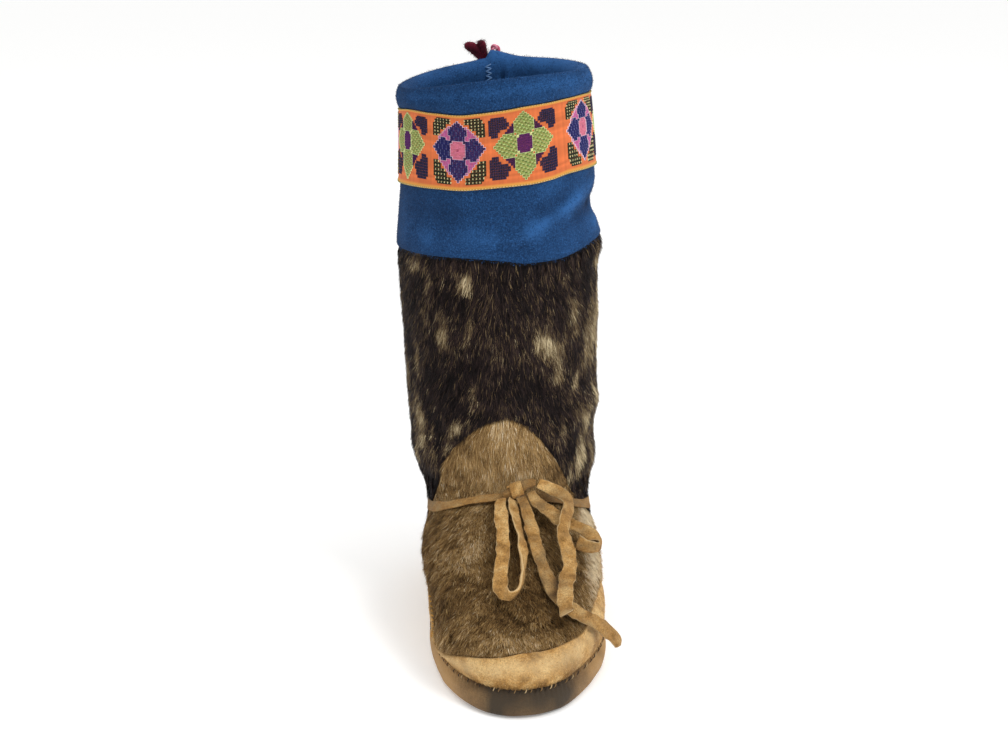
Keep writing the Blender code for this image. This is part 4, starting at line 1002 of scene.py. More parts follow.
# Rand: a smoked hide band with its rolled upper lip, crimps at the sole and creases
rand = {
    "columns": 520, "rows": 26,
    "creases": ((22, 22, 34, 30, 1.4, -0.9), (26, 29, 30, 20, 1.2, -0.8), (34, 26, 48, 34, 2.0, -0.7),
                (-46, 18, -40, 30, 2.0, -0.8), (-60, 22, -54, 36, 2.0, -0.7), (-12, 20, 8, 22, 2.6, 0.4),
                (60, 24, 74, 36, 2.4, -0.8), (-78, 30, -96, 22, 2.6, -0.8), (96, 32, 112, 22, 2.6, -0.9),
                (140, 30, 160, 22, 2.4, -0.7), (-140, 22, -160, 32, 2.4, -0.7),
                (176, 22, 180, 36, 2.0, -0.7)),
    "stains": ((30, 18, 11, 0.6), (46, 22, 10, 0.4), (-64, 36, 8, 0.35), (-40, 17, 7, 0.25),
               (70, 24, 12, 0.4), (100, 24, 14, 0.7), (-100, 22, 14, 0.7), (150, 24, 16, 0.8),
               (-150, 24, 16, 0.8), (12, 30, 8, 0.15)),
    "crimp": 0.0034, "crimpDepth": 0.00040, "leastCrimp": 0.25, "bulge": 0.0012, "fibres": 12000,
}


def stainOf(points, stains):
    # Dirt, listed one by one: angle, height, size in mm and strength
    total = np.zeros(points.shape[:-1])
    for angle, height, wide, strength in stains:
        at = onForm(np.radians(angle), sectionAt(np.radians(angle), height / 1000))
        far = np.linalg.norm(points - at, axis=-1) * 1000 / wide
        total = np.maximum(total, strength * np.exp(-(far**2)))
    return total


def seamLength(angle, seam):
    # Metres along a seam to each of a ring's angles
    places = onForm(angle, seam(angle))
    way = np.linalg.norm(np.diff(np.vstack([places, places[:1]]), axis=0), axis=1)
    return np.concatenate([[0], np.cumsum(way)[:-1]])


def crimps(angle, seam):
    # Even puckers along a seam, deepest round the toe and heel
    way = seamLength(angle, seam)
    wave = np.sin(2 * math.pi * way / rand["crimp"] + 0.6 * np.sin(way / 0.011))
    strength = rand["leastCrimp"] + (1 - rand["leastCrimp"]) * np.abs(np.cos(angle)) ** 2
    return rand["crimpDepth"] * wave * strength


def buildRand():
    angle = np.linspace(-math.pi, math.pi, rand["columns"], endpoint=False)
    up = np.linspace(0, 1, rand["rows"])
    s, tall = between(angle, soleSeam(angle), randSeam(angle), up)
    flat = onForm(angle + 0 * s, s)
    fromSole = up[:, None] * tall
    fromTop = (1 - up)[:, None] * tall
    lift = softLines(flat, rand["creases"])
    lift += 0.0006 * latticeNoise(flat, 12, 51) + 0.0003 * latticeNoise(flat, 5, 52)
    lift += rand["bulge"] * np.sin(math.pi * up[:, None]) ** 2
    lift += crimps(angle, soleSeam) * np.exp(-fromSole / 0.0045)
    lift += -0.0010 * np.exp(-((fromSole / 0.0012) ** 2))  # drawn in at the stitches
    lift += 0.0010 * np.exp(-(((fromTop - 0.0016) / 0.0018) ** 2))  # the lip stands over the fur
    lift += -0.0008 * np.exp(-((fromTop / 0.0008) ** 2))
    outer = onForm(angle + 0 * s, s, lift)
    inner = onForm(angle + 0 * s, s, np.minimum(lift, 0) - size["randWall"])
    points = np.concatenate([outer, inner[::-1]])
    # The listed stains and the noise are dirt; the darkening along the sole seam and along the top edge under
    # the lip is painted shade
    stainAndShade = stainOf(outer, rand["stains"]) + 0.25 * np.exp(-fromSole / 0.002)
    stainAndShade += 0.30 * np.exp(-fromTop / 0.0010) + 0.04 + 0.16 * latticeNoise(flat, 20, 53)
    # Paler round the front at the height of the bulge: a painted highlight, with random wear from the noise
    lightened = np.exp(-(((up[:, None] - 0.62) / 0.25) ** 2)) * np.clip(np.cos(angle) * 1.2, 0, 1)
    wearAndLight = 0.45 * lightened + 0.2 * latticeNoise(flat, 8, 54)
    made = addMesh("hide_rand", points, gridFaces(len(points), len(angle), ring=True, loop=True), smokedHide,
                   values={"stainAndShade": np.concatenate([stainAndShade, stainAndShade[::-1] * 0.3]),
                           "wearAndLight": np.concatenate([wearAndLight, 0 * wearAndLight])})
    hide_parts("rand")
    colours = [hideColours[key] for key in ("brown", "tan", "pale", "edge")]
    fibres("rand_nap", outer, np.ones(outer.shape[:2]), rand["fibres"], 0.0014, 0.00018, colours,
           0.5, 8)


# Sole: the turned-up hide, and the felt insole that lies in it
sole = {"rows": 17, "innerRings": 6, "centre": (0, -0.02, 0), "insoleColumns": 160, "insoleRings": 22,
        "insole": 0.0035, "insoleGap": 0.0003,
        "firstSection": 0.9, "insoleSection": 0.78}  # where the sole's wall starts, and the insole's rim


def buildOutsole():
    angle = np.linspace(-math.pi, math.pi, rand["columns"], endpoint=False)
    seam = soleSeam(angle)
    up = np.linspace(0, 1, sole["rows"])
    s, tall = between(angle, np.full(angle.shape, sole["firstSection"]), seam - 0.02, up)
    flat = onForm(angle + 0 * s, s)
    fromSeam = (1 - up)[:, None] * tall
    lift = crimps(angle, soleSeam) * np.exp(-fromSeam / 0.004) * 1.2 + 0.0003 * latticeNoise(flat, 11, 61)
    lift += -0.0008 * np.exp(-((fromSeam / 0.0011) ** 2))  # drawn in at the stitches
    outer = onForm(angle + 0 * s, s, lift)
    outer[..., 2] = np.maximum(outer[..., 2], 0)
    wall = size["soleWall"] * np.clip(3 * (1 - up)[:, None], 0.6, 1)  # thinner towards its edge
    inner = onForm(angle + 0 * s, s, np.minimum(lift, 0) - wall)
    inner[..., 2] = np.maximum(inner[..., 2], size["soleWall"])
    centre = np.array(sole["centre"])
    shares = np.linspace(0.02, 0.96, sole["innerRings"])[:, None, None]
    under = centre + (outer[:1] - centre) * shares
    under[..., 2] = 0.00012 * (1 + latticeNoise(under, 14, 62)) * (1 - shares[..., 0])
    over = centre + (inner[:1] - centre) * shares[::-1]
    over[..., 2] = size["soleWall"]
    points = np.concatenate([under, outer, inner[::-1], over])
    # Dark with wear round the toe, and as pale as the rand up the sides
    toe = np.exp(-((np.degrees(turned(angle, math.radians(4))) / 38) ** 4)) + 0 * up[:, None]
    dirtAndShade = 0.12 + 0.92 * toe + (0.10 + 0.12 * toe) * latticeNoise(outer, 9, 64)
    dirtAndShade -= 0.15 * toe * (1 - up[:, None]) ** 2
    floorDirt = 0.35 + 0.25 * latticeNoise(under, 20, 63)
    stainAndShade = np.concatenate([floorDirt, dirtAndShade, 0 * inner[..., 0], 0 * over[..., 0]])
    pale = np.clip(0.85 * (1 - toe) + 0.2 * latticeNoise(outer, 12, 65), 0, 1)
    wearAndLight = np.concatenate([0 * under[..., 0], pale, 0 * inner[..., 0], 0 * over[..., 0]])
    faces = gridFaces(len(points), len(angle), ring=True, loop=True)
    made = addMesh("hide_outsole", points, faces, soleHide, values={"stainAndShade": stainAndShade, "wearAndLight": wearAndLight})
    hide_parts("outsole")


def buildInsole():
    # Felt cut to the sole's inside, with a rounded edge
    angle = np.linspace(-math.pi, math.pi, sole["insoleColumns"], endpoint=False)
    rim = plainForm(angle, np.full(angle.shape, sole["insoleSection"]))
    centre = np.array(sole["centre"])
    shares = np.linspace(0.02, 1, sole["insoleRings"])[:, None, None]
    top = centre + (rim[None] - centre) * shares
    rounding = np.clip((shares[..., 0] - 0.96) / 0.04, 0, 1)
    thick = sole["insole"] * np.sqrt(np.clip(1 - rounding**2, 0, 1))
    top[..., 2] = size["soleWall"] + sole["insoleGap"] + thick + 0.0002 * latticeNoise(top, 12, 66)
    base = top.copy()
    base[..., 2] = size["soleWall"] + sole["insoleGap"]
    points = np.concatenate([base, top[::-1]])
    made = addMesh("felt_insole", points, gridFaces(len(points), len(angle), ring=True, loop=True), felt)
    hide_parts("insole")


buildRand()
buildOutsole()
buildInsole()
print("foot ready")


# Tubes, straps and stitches
def smoothRoute(points, spacing):
    # Points evenly spaced along a smooth curve through the route's own points
    points = np.array(points, float)
    padded = np.vstack([2 * points[0] - points[1], points, 2 * points[-1] - points[-2]])
    fine = []
    for a, b, c, d in zip(padded, padded[1:], padded[2:], padded[3:]):
        for t in np.linspace(0, 1, 12, endpoint=False):
            fine.append(0.5 * (2 * b + (c - a) * t + (2 * a - 5 * b + 4 * c - d) * t**2
                               + (3 * b - a - 3 * c + d) * t**3))
    fine = np.array(fine + [points[-1]])
    way = np.concatenate([[0], np.cumsum(np.linalg.norm(np.diff(fine[:, :3], axis=0), axis=1))])
    at = np.linspace(0, way[-1], max(round(way[-1] / spacing), 2) + 1)
    return np.stack([np.interp(at, way, fine[:, k]) for k in range(points.shape[1])], axis=1), way[-1]


def sweep(route, faceWay, outline):
    # Rings of an outline along a route. The outline's first axis runs across, its second out of the face.
    along = unit(np.gradient(route, axis=0))
    face = unit(faceWay - (faceWay * along).sum(-1, keepdims=True) * along)
    across = np.cross(along, face)
    return route[:, None] + across[:, None] * outline[..., :1] + face[:, None] * outline[..., 1:2]


def flatOutline(width, thickness):
    # A strap's section with soft corners, as wide and thick as given at each of its places
    turn = np.linspace(0, 2 * math.pi, 20, endpoint=False)
    x = np.sign(np.cos(turn)) * np.abs(np.cos(turn)) ** 0.35
    y = np.sign(np.sin(turn)) * np.abs(np.sin(turn)) ** 0.8
    return np.stack([np.outer(width / 2, x), np.outer(thickness / 2, y)], axis=-1)


def closedTube(name, rings, look, tint=None, values=None):
    # A tube from rings, closed at both ends
    count, sides = rings.shape[:2]
    points = np.concatenate([rings.reshape(-1, 3), rings[:1].mean(1), rings[-1:].mean(1)])
    ring = np.arange(sides)
    caps = np.concatenate([
        np.stack([np.full(sides, count * sides), (ring + 1) % sides, ring], -1),
        np.stack([np.full(sides, count * sides + 1), (count - 1) * sides + ring,
                  (count - 1) * sides + (ring + 1) % sides], -1)])
    if values:
        values = {k: v[:, None] + 0 * rings[..., 0] if np.ndim(v) == 1 else v for k, v in values.items()}
        values = {k: np.concatenate([v.ravel(), v[0, :1], v[-1, :1]]) for k, v in values.items()}
    if tint is not None:
        tint = np.concatenate([tint.reshape(-1, 3), tint[0, :1], tint[-1, :1]])
    return addMesh(name, points, [gridFaces(count, sides, ring=True), caps], look, tint, values)


tie = {"width": 0.0088, "thickness": 0.0019, "spacing": 0.0012, "cup": 0.0011, "ripple": 0.0009,
       "fibresPerMetre": 26000, "ankleWidth": 0.0064, "ankleThickness": 0.0016,
       "ankleRings": 420}
# Each point of a loop or end: its place, and the way its face looks
frontLoop = (
    (-0.0068, -0.0304, 0.0882, -0.3, -1.0, 0.3), (-0.008, -0.038, 0.0868, -0.2, -1.0, 0.6),
    (-0.008, -0.049, 0.0830, -0.1, -0.8, 0.8), (-0.008, -0.066, 0.0770, -0.1, -0.7, 0.9),
    (-0.009, -0.079, 0.0690, -0.1, -0.7, 0.9), (-0.011, -0.090, 0.0620, -0.1, -0.7, 0.8),
    (-0.011, -0.100, 0.0565, -0.1, -0.9, 0.5), (-0.006, -0.105, 0.0545, 0.2, -0.9, -0.4),
    (-0.001, -0.101, 0.0565, 0.8, -0.5, -0.5), (0.002, -0.092, 0.0610, 0.9, -0.5, -0.2),
    (0.0035, -0.080, 0.0680, 0.8, -0.6, 0.1), (0.003, -0.068, 0.0755, 0.8, -0.6, 0.3),
    (0.001, -0.053, 0.0820, 0.7, -0.6, 0.4), (-0.0003, -0.041, 0.0860, 0.5, -0.7, 0.5),
    (0.0002, -0.0328, 0.0883, 0.3, -0.9, 0.3),
)
longEnd = (
    (0.0056, -0.0324, 0.0903, 0.0, -1.0, 0.2), (0.007, -0.040, 0.0868, 0.1, -0.9, 0.6),
    (0.009, -0.049, 0.0815, 0.1, -0.8, 0.8), (0.011, -0.062, 0.0745, 0.1, -0.7, 0.8),
    (0.014, -0.075, 0.0660, 0.2, -0.7, 0.8), (0.017, -0.086, 0.0590, 0.2, -0.7, 0.8),
    (0.021, -0.098, 0.0530, 0.2, -0.7, 0.8), (0.027, -0.107, 0.0490, 0.2, -0.8, 0.7),
    (0.034, -0.111, 0.0450, 0.2, -0.9, 0.6), (0.042, -0.109, 0.0395, 0.3, -0.9, 0.6),
    (0.050, -0.106, 0.0330, 0.4, -0.9, 0.6), (0.056, -0.103, 0.0260, 0.4, -0.9, 0.6),
    (0.0605, -0.100, 0.0190, 0.4, -0.9, 0.5),
)
sideLoop = (
    (0.0113, -0.0320, 0.0930, 0.2, -0.9, 0.3), (0.015, -0.038, 0.0885, 0.2, -0.8, 0.6),
    (0.021, -0.043, 0.0850, 0.2, -0.8, 0.7), (0.029, -0.049, 0.0810, 0.1, -0.8, 0.7),
    (0.040, -0.054, 0.0770, 0.1, -0.8, 0.7), (0.048, -0.059, 0.0735, 0.3, -0.8, 0.5),
    (0.051, -0.065, 0.0705, 0.7, -0.7, 0.1), (0.049, -0.070, 0.0700, 0.1, -0.9, -0.3),
    (0.043, -0.071, 0.0715, -0.2, -0.9, -0.2), (0.037, -0.070, 0.0740, -0.2, -0.9, 0.1),
)
shortEnd = (
    (0.0162, -0.0290, 0.0978, 0.1, -0.9, 0.4), (0.025, -0.031, 0.0945, 0.1, -0.8, 0.6),
    (0.032, -0.037, 0.0915, 0.3, -0.7, 0.7), (0.034, -0.045, 0.0885, 0.5, -0.7, 0.5),
    (0.031, -0.056, 0.0850, 0.5, -0.8, 0.4), (0.029, -0.065, 0.0780, 0.3, -0.9, 0.4),
    (0.031, -0.076, 0.0700, 0.2, -0.9, 0.5), (0.031, -0.086, 0.0640, 0.1, -0.9, 0.6),
    (0.028, -0.098, 0.0600, 0.0, -0.9, 0.7), (0.026, -0.111, 0.0555, 0.0, -0.8, 0.7),
    (0.026, -0.121, 0.0495, 0.0, -0.9, 0.5),
)


def strap(name, route, solid, seed, far, narrowEnds, tip=0.0, slant=0.0, dirtAndShade=0.05):
    # A flat strap of the tie along a route. Its edges waver, it cups, and its far end may
    # be rounded over a length (tip) or cut aslant
    fine, length = smoothRoute(route, tie["spacing"])
    places, faceWay = fine[:, :3], unit(fine[:, 3:])
    t = np.linspace(0, 1, len(places))
    own = np.random.default_rng(seed)
    marks = max(int(length / 0.007), 5)
    wobble = np.interp(t, np.linspace(0, 1, marks), own.uniform(0.84, 1.10, marks))
    wide = tie["width"] * wobble
    wide *= np.interp(t, (0, 0.12, 0.9, 1), (narrowEnds[0], 1, 1, narrowEnds[1]))
    if tip:
        wide *= np.sqrt(np.clip(1 - np.clip((t * length - (length - tip)) / tip, 0, 0.98) ** 2, 0.02, 1))
    thick = tie["thickness"] * np.interp(t, np.linspace(0, 1, 7), own.uniform(0.85, 1.15, 7))
    outline = flatOutline(wide, thick)
    across = np.clip(outline[..., 0] / (wide[:, None] / 2), -1, 1)
    cup = tie["cup"] * np.interp(t, np.linspace(0, 1, 7), own.uniform(-0.6, 1.0, 7))
    outline[..., 1] += cup[:, None] * (across**2 - 0.4)
    rings = sweep(places, faceWay, outline)
    along = unit(np.gradient(places, axis=0))
    curl = tie["ripple"] * np.abs(across) * latticeNoise(rings, 7, seed)
    curl += 0.0003 * latticeNoise(rings, 2.5, seed + 1)
    rings = rings + curl[..., None] * faceWay[:, None]
    waver = 0.0007 * latticeNoise(rings, 3, seed + 2) * np.abs(across)
    rings = rings + waver[..., None] * np.cross(along, faceWay)[:, None]
    if slant:
        cut = slant * across * (t[:, None] > 0.985) * wide[:, None] / 2
        rings = rings + cut[..., None] * along[:, None]
    # The underside is painted darker, a painted shade; the rest of the darkening is dirt
    under = outline[..., 1] < cup[:, None] * (across**2 - 0.4)
    stainAndShade = (dirtAndShade + 0.30 * np.interp(t, np.linspace(0, 1, 8), own.uniform(0, 1, 8)))[:, None] + 0.25 * under
    stainAndShade = stainAndShade + 0.25 * latticeNoise(rings, 6, seed + 3) * (np.abs(across) < 0.95)
    wearAndLight = 0.65 * (np.abs(across) > 0.93) + 0.15 * latticeNoise(rings, 3, seed + 4)
    if far == "bare":
        wearAndLight = wearAndLight + 0.35 * (t[:, None] > 1 - 0.002 / length)
    made = closedTube(name, rings, smokedHide, values={"stainAndShade": stainAndShade, "wearAndLight": wearAndLight})
    colours = [hideColours[key] for key in ("brown", "tan", "edge")]
    fibres(name + "_nap", rings, 0.25 + (np.abs(across) > 0.9), int(length * tie["fibresPerMetre"]), 0.0011,
           0.00016, colours, 0.6, seed)
    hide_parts(solid)


strap("front_loop_strap", frontLoop, "front_loop", 71, "object", (0.7, 0.7))
strap("long_end_strap", longEnd, "long_end", 72, "bare", (0.7, 0.95), tip=0.005, dirtAndShade=0.48)
strap("side_loop_strap", sideLoop, "side_loop", 73, "object", (0.7, 1.0), dirtAndShade=0.42)
strap("short_end_strap", shortEnd, "short_end", 74, "bare", (0.7, 1.05), slant=0.55, dirtAndShade=0.24)


def buildAnkleTie():
    # The stretched part of the tie, flat against the fur and rounder at the knot
    angle = np.linspace(-math.pi, math.pi, tie["ankleRings"], endpoint=False)
    height = tieHeight(angle)
    front = 0.0004 + 0.0040 * np.clip(np.cos(angle), 0, 1) ** 2
    places = onForm(angle, sectionAt(angle, height), front)
    faceWay = unit(read(tableNormal, angle, sectionAt(angle, height)))
    along = unit(np.roll(places, -1, axis=0) - np.roll(places, 1, axis=0))
    across = np.cross(along, faceWay)
    nearKnot = np.exp(-((turned(angle, math.radians(4)) / 0.22) ** 2))
    waver = 1 + 0.10 * np.sin(5 * angle + 1) + 0.06 * np.sin(17 * angle)
    wide = tie["ankleWidth"] * (1 - 0.30 * nearKnot) * waver
    outline = flatOutline(wide, np.full(len(angle), tie["ankleThickness"]))
    rings = places[:, None] + across[:, None] * outline[..., :1] + faceWay[:, None] * outline[..., 1:2]
    faces = gridFaces(len(angle), rings.shape[1], ring=True, loop=True)
    stainAndShade = np.repeat(0.72 + 0.12 * np.sin(3 * angle), rings.shape[1])
    made = addMesh("ankle_strap", rings, faces, smokedHide, values={"stainAndShade": stainAndShade})
    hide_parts("ankle_tie")


# Lean in degrees, and half the depth and height of the wrap's turn
knot = {"lean": 21, "turns": 1.175, "wrapDeep": 0.0033, "wrapTall": 0.0043, "wrapSteps": 90,
        "wrapWidth": 0.0078, "wrapThickness": 0.0018, "coreSteps": 60, "coreReach": 0.0112,
        "coreWidth": 0.0066, "coreThickness": 0.0050}


def buildKnot():
    # A turn of the strap pulled tight round the core
    low, high = (np.array(x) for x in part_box("bow_knot"))
    centre = (low + high) / 2
    lean = math.radians(knot["lean"])
    steps = knot["wrapSteps"]
    axis = np.array([math.cos(lean), 0, math.sin(lean)])
    front = np.array([0.0, -1, 0.2])
    top = unit(np.cross(front, axis))
    turn = np.linspace(0, knot["turns"] * 2 * math.pi, steps)
    wrap = (centre - axis * 0.0020 + axis * 0.0030 * np.linspace(-0.5, 0.5, steps)[:, None]
            + np.outer(np.cos(turn + 2.2), front) * knot["wrapDeep"]
            + np.outer(np.sin(turn + 2.2), top) * knot["wrapTall"])
    outward = unit(wrap - centre - axis * ((wrap - centre) @ axis)[:, None])
    outline = flatOutline(np.full(steps, knot["wrapWidth"]), np.full(steps, knot["wrapThickness"]))
    rings = sweep(wrap, outward, outline)
    rings += 0.0004 * latticeNoise(rings, 4, 81)[..., None] * outward[:, None]
    made = closedTube("knot_wrap", rings, smokedHide, values={"stainAndShade": np.linspace(0.15, 0.5, steps)})
    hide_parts("bow_knot")
    # The core: the tie and the bow's roots pass through the wrap
    t = np.linspace(-1, 1, knot["coreSteps"])
    core = centre + axis * (t * knot["coreReach"])[:, None] + np.outer(0.0010 * np.sin(3 * t), top)
    plump = np.sqrt(np.clip(1 - (np.abs(t) ** 3.2) * 0.72, 0, 1))
    outline = flatOutline(knot["coreWidth"] * plump, knot["coreThickness"] * plump)
    rings = sweep(core, np.broadcast_to(front, core.shape) + 0.5 * np.sin(2 * t)[:, None] * top, outline)
    rings += 0.0006 * latticeNoise(rings, 3.5, 82)[..., None] * unit(rings - centre)
    made = closedTube("knot_core", rings, smokedHide, values={"stainAndShade": np.full(len(t), 0.75)})


buildAnkleTie()
buildKnot()
print("tie ready")

# Yarn at the back of the collar
yarnColours = {"red": "#360815", "redLight": "#6b162a", "pink": "#bf5872", "pinkLight": "#e08fa2"}
tassel = {"thickness": 0.0062, "rise": 0.020, "reach": 0.0125, "loopThickness": 0.0030, "loopRise": 0.0165,
          "loopWidth": 0.0062, "step": 0.0006, "sides": 8, "fibres": 450}
# Routes of the yarns, as shares of their reach, thickness and rise
tasselSide = ((-0.25, 0, 0), (-0.32, 0, 0.42), (-0.72, -0.15, 0.70), (-1.25, -0.3, 0.88))
tasselUpper = ((-0.22, 0, 0), (-0.26, 0, 0.48), (-0.38, -0.15, 0.82), (-0.30, -0.25, 1.00))
yarnLoop = ((0.36, 0, 0), (0.32, 0, 0.60), (0.46, -0.1, 0.92), (0.76, -0.2, 1.00), (1.04, -0.1, 0.86),
            (1.20, 0, 0.50), (1.22, 0, 0))


def behindCollar(shape, reach, thickness, rise):
    # A yarn's route from its foot, which rests against the back of the hem
    angle = np.array([math.pi])
    outward = cuff["innerBulge"] * size["hemThickness"] + 0.0003 + thickness / 2
    foot = onForm(angle, sectionAt(angle, size["bootHeight"] - size["casing"] / 2), outward)[0]
    return foot + np.array(shape) * np.array([reach, thickness, rise])


def plies(name, route, thickness, colours, replaced, count=4, pitch=0.011, fuzz=True):
    # A thick yarn as plies wound round each other, with tapered ends and loose fibres where it has fuzz
    fine, _ = smoothRoute(route, tassel["step"])
    along = unit(np.gradient(fine, axis=0))
    face = unit(np.cross(along, np.array([0.02, 1.0, 0.05])))
    other = np.cross(along, face)
    way = np.arange(len(fine)) * tassel["step"]
    toEnd = way[-1] - way
    radius = thickness / 2 * 1.06
    swell = 1 + 0.10 * np.sin(way / 0.0021)
    swell *= np.sqrt(np.clip(toEnd / 0.004, 0.05, 1)) if fuzz else 1
    sides = tassel["sides"]
    turn = np.linspace(0, 2 * math.pi, sides, endpoint=False)
    ring = np.stack([np.cos(turn), np.sin(turn)])[:, None, :, None]
    allRings, allTints, faces = [], [], []
    for k in range(count):
        phase = 2 * math.pi * (way / pitch + k / count)
        aside = face * np.cos(phase)[:, None] + other * np.sin(phase)[:, None]
        centre = fine + aside * (radius * 0.52 * swell)[:, None]
        plyAlong = unit(np.gradient(centre, axis=0))
        a = unit(np.cross(plyAlong, np.array([0.1, 1, 0.0])))
        b = np.cross(plyAlong, a)
        ply = radius * 0.56 * (np.sqrt(np.clip(toEnd / 0.0022, 0.04, 1)) if fuzz else 1)
        lump = 1 + 0.12 * np.sin(way / 0.0009 + 2 * k)
        circle = a[:, None] * ring[0] + b[:, None] * ring[1]
        rings = centre[:, None] + circle * (ply * lump)[:, None, None]
        if fuzz:
            fibres(f"{name}_fibres_{k + 1}", rings, np.ones(rings.shape[:2]), tassel["fibres"], 0.0019,
                   0.00018, colours, 0.8, 90 + k)
        faces.append(gridFaces(len(rings), sides, ring=True) + k * len(fine) * sides)
        allRings.append(rings)
        mix = (0.5 + 0.5 * np.sin(way / 0.0013 + 1.7 * k))[:, None]
        shade = linear(colours[0]) * (1 - mix) + linear(colours[1]) * mix
        allTints.append(np.repeat(shade, sides, axis=0))
    made = addMesh(name, np.concatenate([r.reshape(-1, 3) for r in allRings]), faces, yarn,
                   np.concatenate(allTints))
    if replaced:
        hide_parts(replaced)


red = (yarnColours["red"], yarnColours["redLight"])
pink = (yarnColours["pink"], yarnColours["pinkLight"])
endSize = (tassel["reach"], tassel["thickness"], tassel["rise"])
loopSize = (tassel["loopWidth"], tassel["loopThickness"], tassel["loopRise"])
plies("tassel_side_end", behindCollar(tasselSide, *endSize), tassel["thickness"], red,
      "collar_tassel")
plies("tassel_upper_end", behindCollar(tasselUpper, *endSize), tassel["thickness"], red,
      None)
plies("yarn_loop", behindCollar(yarnLoop, *loopSize), tassel["loopThickness"], pink,
      "collar_loop", count=2, pitch=0.008, fuzz=False)
print("yarn ready")

# Stitches: short threads over the seams
stitchColours = {"sinew": "#bfa57a", "gold": "#b9842f", "dark": "#2c2016", "dull": "#8a6c45",
                 "pale": "#6288b8"}
# Spacing and widths of the stitches, and how far inside the form the back seam lies
seams = {"soleStep": 0.0031, "soleThread": 0.00062, "goldThread": 0.0007, "backThread": 0.0009,
         "backPoints": 15, "inside": -0.0086,
         "missing": 0.12}  # share of the sole's stitches left out


def stitches(name, starts, ends, normals, thickness, colours, arch=0.5):
    # Short round threads from point to point that arch over what they hold
    count = len(starts)
    t = np.linspace(0, 1, 5)
    way = ends - starts
    along = unit(way)
    side = np.cross(along, normals)
    turn = np.linspace(0, 2 * math.pi, 6, endpoint=False)
    line = (starts[:, None] + way[:, None] * t[None, :, None]
            + normals[:, None] * (arch * thickness * 2 * np.sin(math.pi * t))[None, :, None])
    thin = thickness / 2 * np.array([0.55, 0.95, 1, 0.95, 0.55])
    sideways, outward = np.outer(thin, np.cos(turn)), np.outer(thin, np.sin(turn))
    rings = (line[:, :, None] + side[:, None, None] * sideways[..., None]
             + normals[:, None, None] * outward[..., None])
    each = sideways.size  # points of one stitch
    faces = gridFaces(*sideways.shape, ring=True)[None] + np.arange(count)[:, None, None] * each
    shades = np.array([linear(c) for c in colours]) * rng.uniform(0.75, 1.1, count)[:, None]
    made = addMesh(name, rings, faces.reshape(-1, 4), thread, np.repeat(shades, each, axis=0))


def buildStitches():
    # Overcast stitches that join the turned-up sole to the rand, between the crimps
    angle = np.linspace(-math.pi, math.pi, 1440, endpoint=False)
    way = seamLength(angle, soleSeam)
    at = np.arange(0.001, way[-1], seams["soleStep"])
    at = at[rng.random(len(at)) > seams["missing"]] + rng.normal(0, 0.00025, 1)[0]
    angles = np.interp(at, way, angle)
    slant = np.interp(at + 0.0012, way, angle)
    s = soleSeam(angles)
    normal = unit(read(tableNormal, angles, s))
    low = onForm(angles, sectionAt(angles, size["soleEdge"] - 0.0013), 0.0001)
    high = onForm(slant, sectionAt(slant, size["soleEdge"] + 0.0012), 0.0003)
    pick = [stitchColours[("dark", "sinew", "dull", "dark", "dull")[k % 5]] for k in range(len(at))]
    stitches("sole_seam_stitches", low, high, normal, seams["soleThread"], pick)
    # Golden stitches up the inner side, where a corner of the vamp comes down close to the sole
    heights = np.linspace(0.020, 0.040, 13)
    angles = np.radians(-60 - 3 * np.sin(heights * 160))
    s = sectionAt(angles, heights)
    normal = unit(read(tableNormal, angles, s))
    low = onForm(angles - 0.018, s, 0.0022)
    high = onForm(angles + 0.018, s + 0.05, 0.0022)
    stitches("rand_seam_stitches", low, high, normal, seams["goldThread"],
             [stitchColours["gold"]] * len(angles))
    # Zig-zag stitches down the back seam, inside the collar
    count = seams["backPoints"]
    steps = np.linspace(0.346, 0.325, count)
    zig = math.pi + np.where(np.arange(count) % 2, 0.045, -0.030)
    places = onForm(zig, sectionAt(zig, steps), seams["inside"])
    normal = -unit(read(tableNormal, zig, sectionAt(zig, steps)))
    stitches("back_seam_stitches", places[:-1], places[1:], normal[:-1], seams["backThread"],
             [stitchColours["pale"]] * (count - 1), arch=0.2)


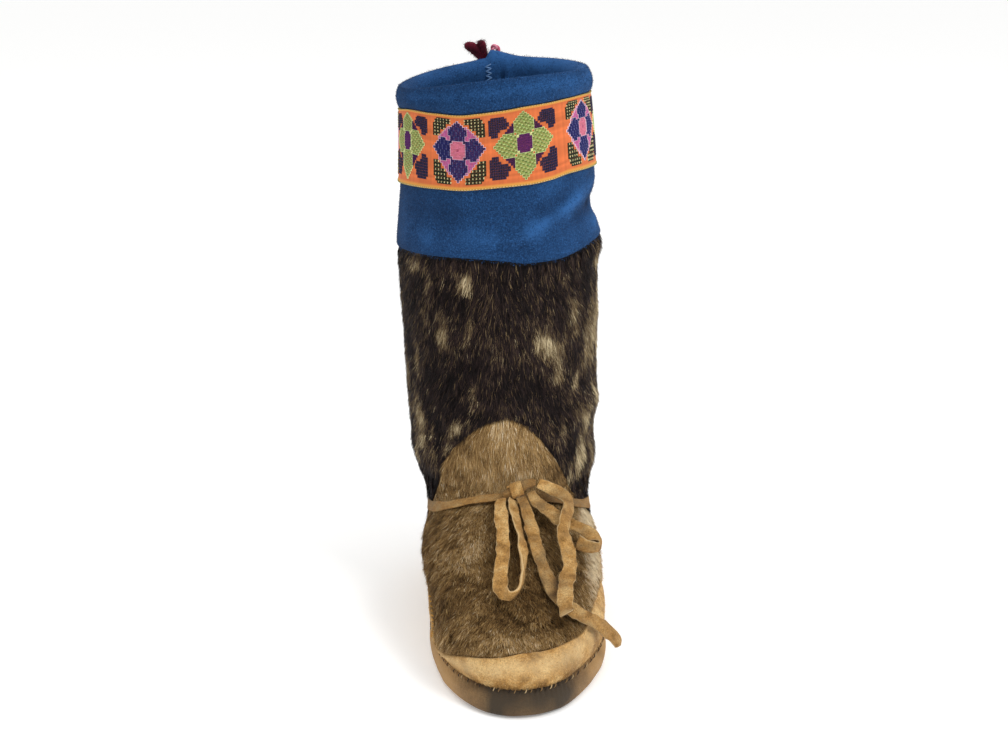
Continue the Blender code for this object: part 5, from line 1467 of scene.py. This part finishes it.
buildStitches()
print("stitches ready")


# Stage: a plain pale floor and soft light, with the camera at the photo's angle
stage = {
    "paper": "#fbfbfa", "glow": 0.16, "world": 0.84, "floor": 40,
    # name, place, target, watts and width of each lamp
    "lamps": (("key", (1.3, -1.2, 1.9), (0, 0, 0.17), 24, 0.9),
              ("fill", (-1.5, -1.2, 1.3), (0, 0, 0.17), 3, 1.4),
              ("top", (0.1, 0.6, 2.3), (0, 0, 0.2), 8, 1.6)),
    "camera": (-0.065, -1.035, 0.456), "down": 16, "turn": -3.4, "lens": 60.71, "sensor": 36,
}


def buildStage():
    scene = bpy.context.scene
    scene.view_settings.view_transform = "Standard"  # a white sweep stays white
    world = bpy.data.worlds.new("studio")
    scene.world = world
    world.use_nodes = True
    world.node_tree.nodes["Background"].inputs["Color"].default_value = (1, 1, 1, 1)
    world.node_tree.nodes["Background"].inputs["Strength"].default_value = stage["world"]
    paper, _, shader = material("white_paper", 0.9)
    shader.inputs["Base Color"].default_value = rgba(stage["paper"])
    shader.inputs["Emission Color"].default_value = (1, 1, 1, 1)
    shader.inputs["Emission Strength"].default_value = stage["glow"]  # keeps the floor white far off
    bpy.ops.mesh.primitive_plane_add(size=stage["floor"], location=(0, 0, 0))
    floor = bpy.context.object
    floor.name = "floor"
    floor.data.materials.append(paper)
    for name, place, target, power, width in stage["lamps"]:
        data = bpy.data.lights.new(name, "AREA")
        data.energy, data.size = power, width
        lamp = bpy.data.objects.new(name, data)
        scene.collection.objects.link(lamp)
        lamp.location = place
        way = np.array(target) - np.array(place)
        flat = math.hypot(way[0], way[1])
        lamp.rotation_euler = (math.atan2(flat, -way[2]), 0, math.atan2(-way[0], way[1]))
    camera = bpy.data.objects.new("camera", bpy.data.cameras.new("camera"))
    scene.collection.objects.link(camera)
    camera.location = stage["camera"]
    camera.rotation_euler = (math.radians(90 - stage["down"]), 0, math.radians(stage["turn"]))
    camera.data.lens = stage["lens"]
    camera.data.sensor_width = stage["sensor"]
    scene.camera = camera


buildStage()
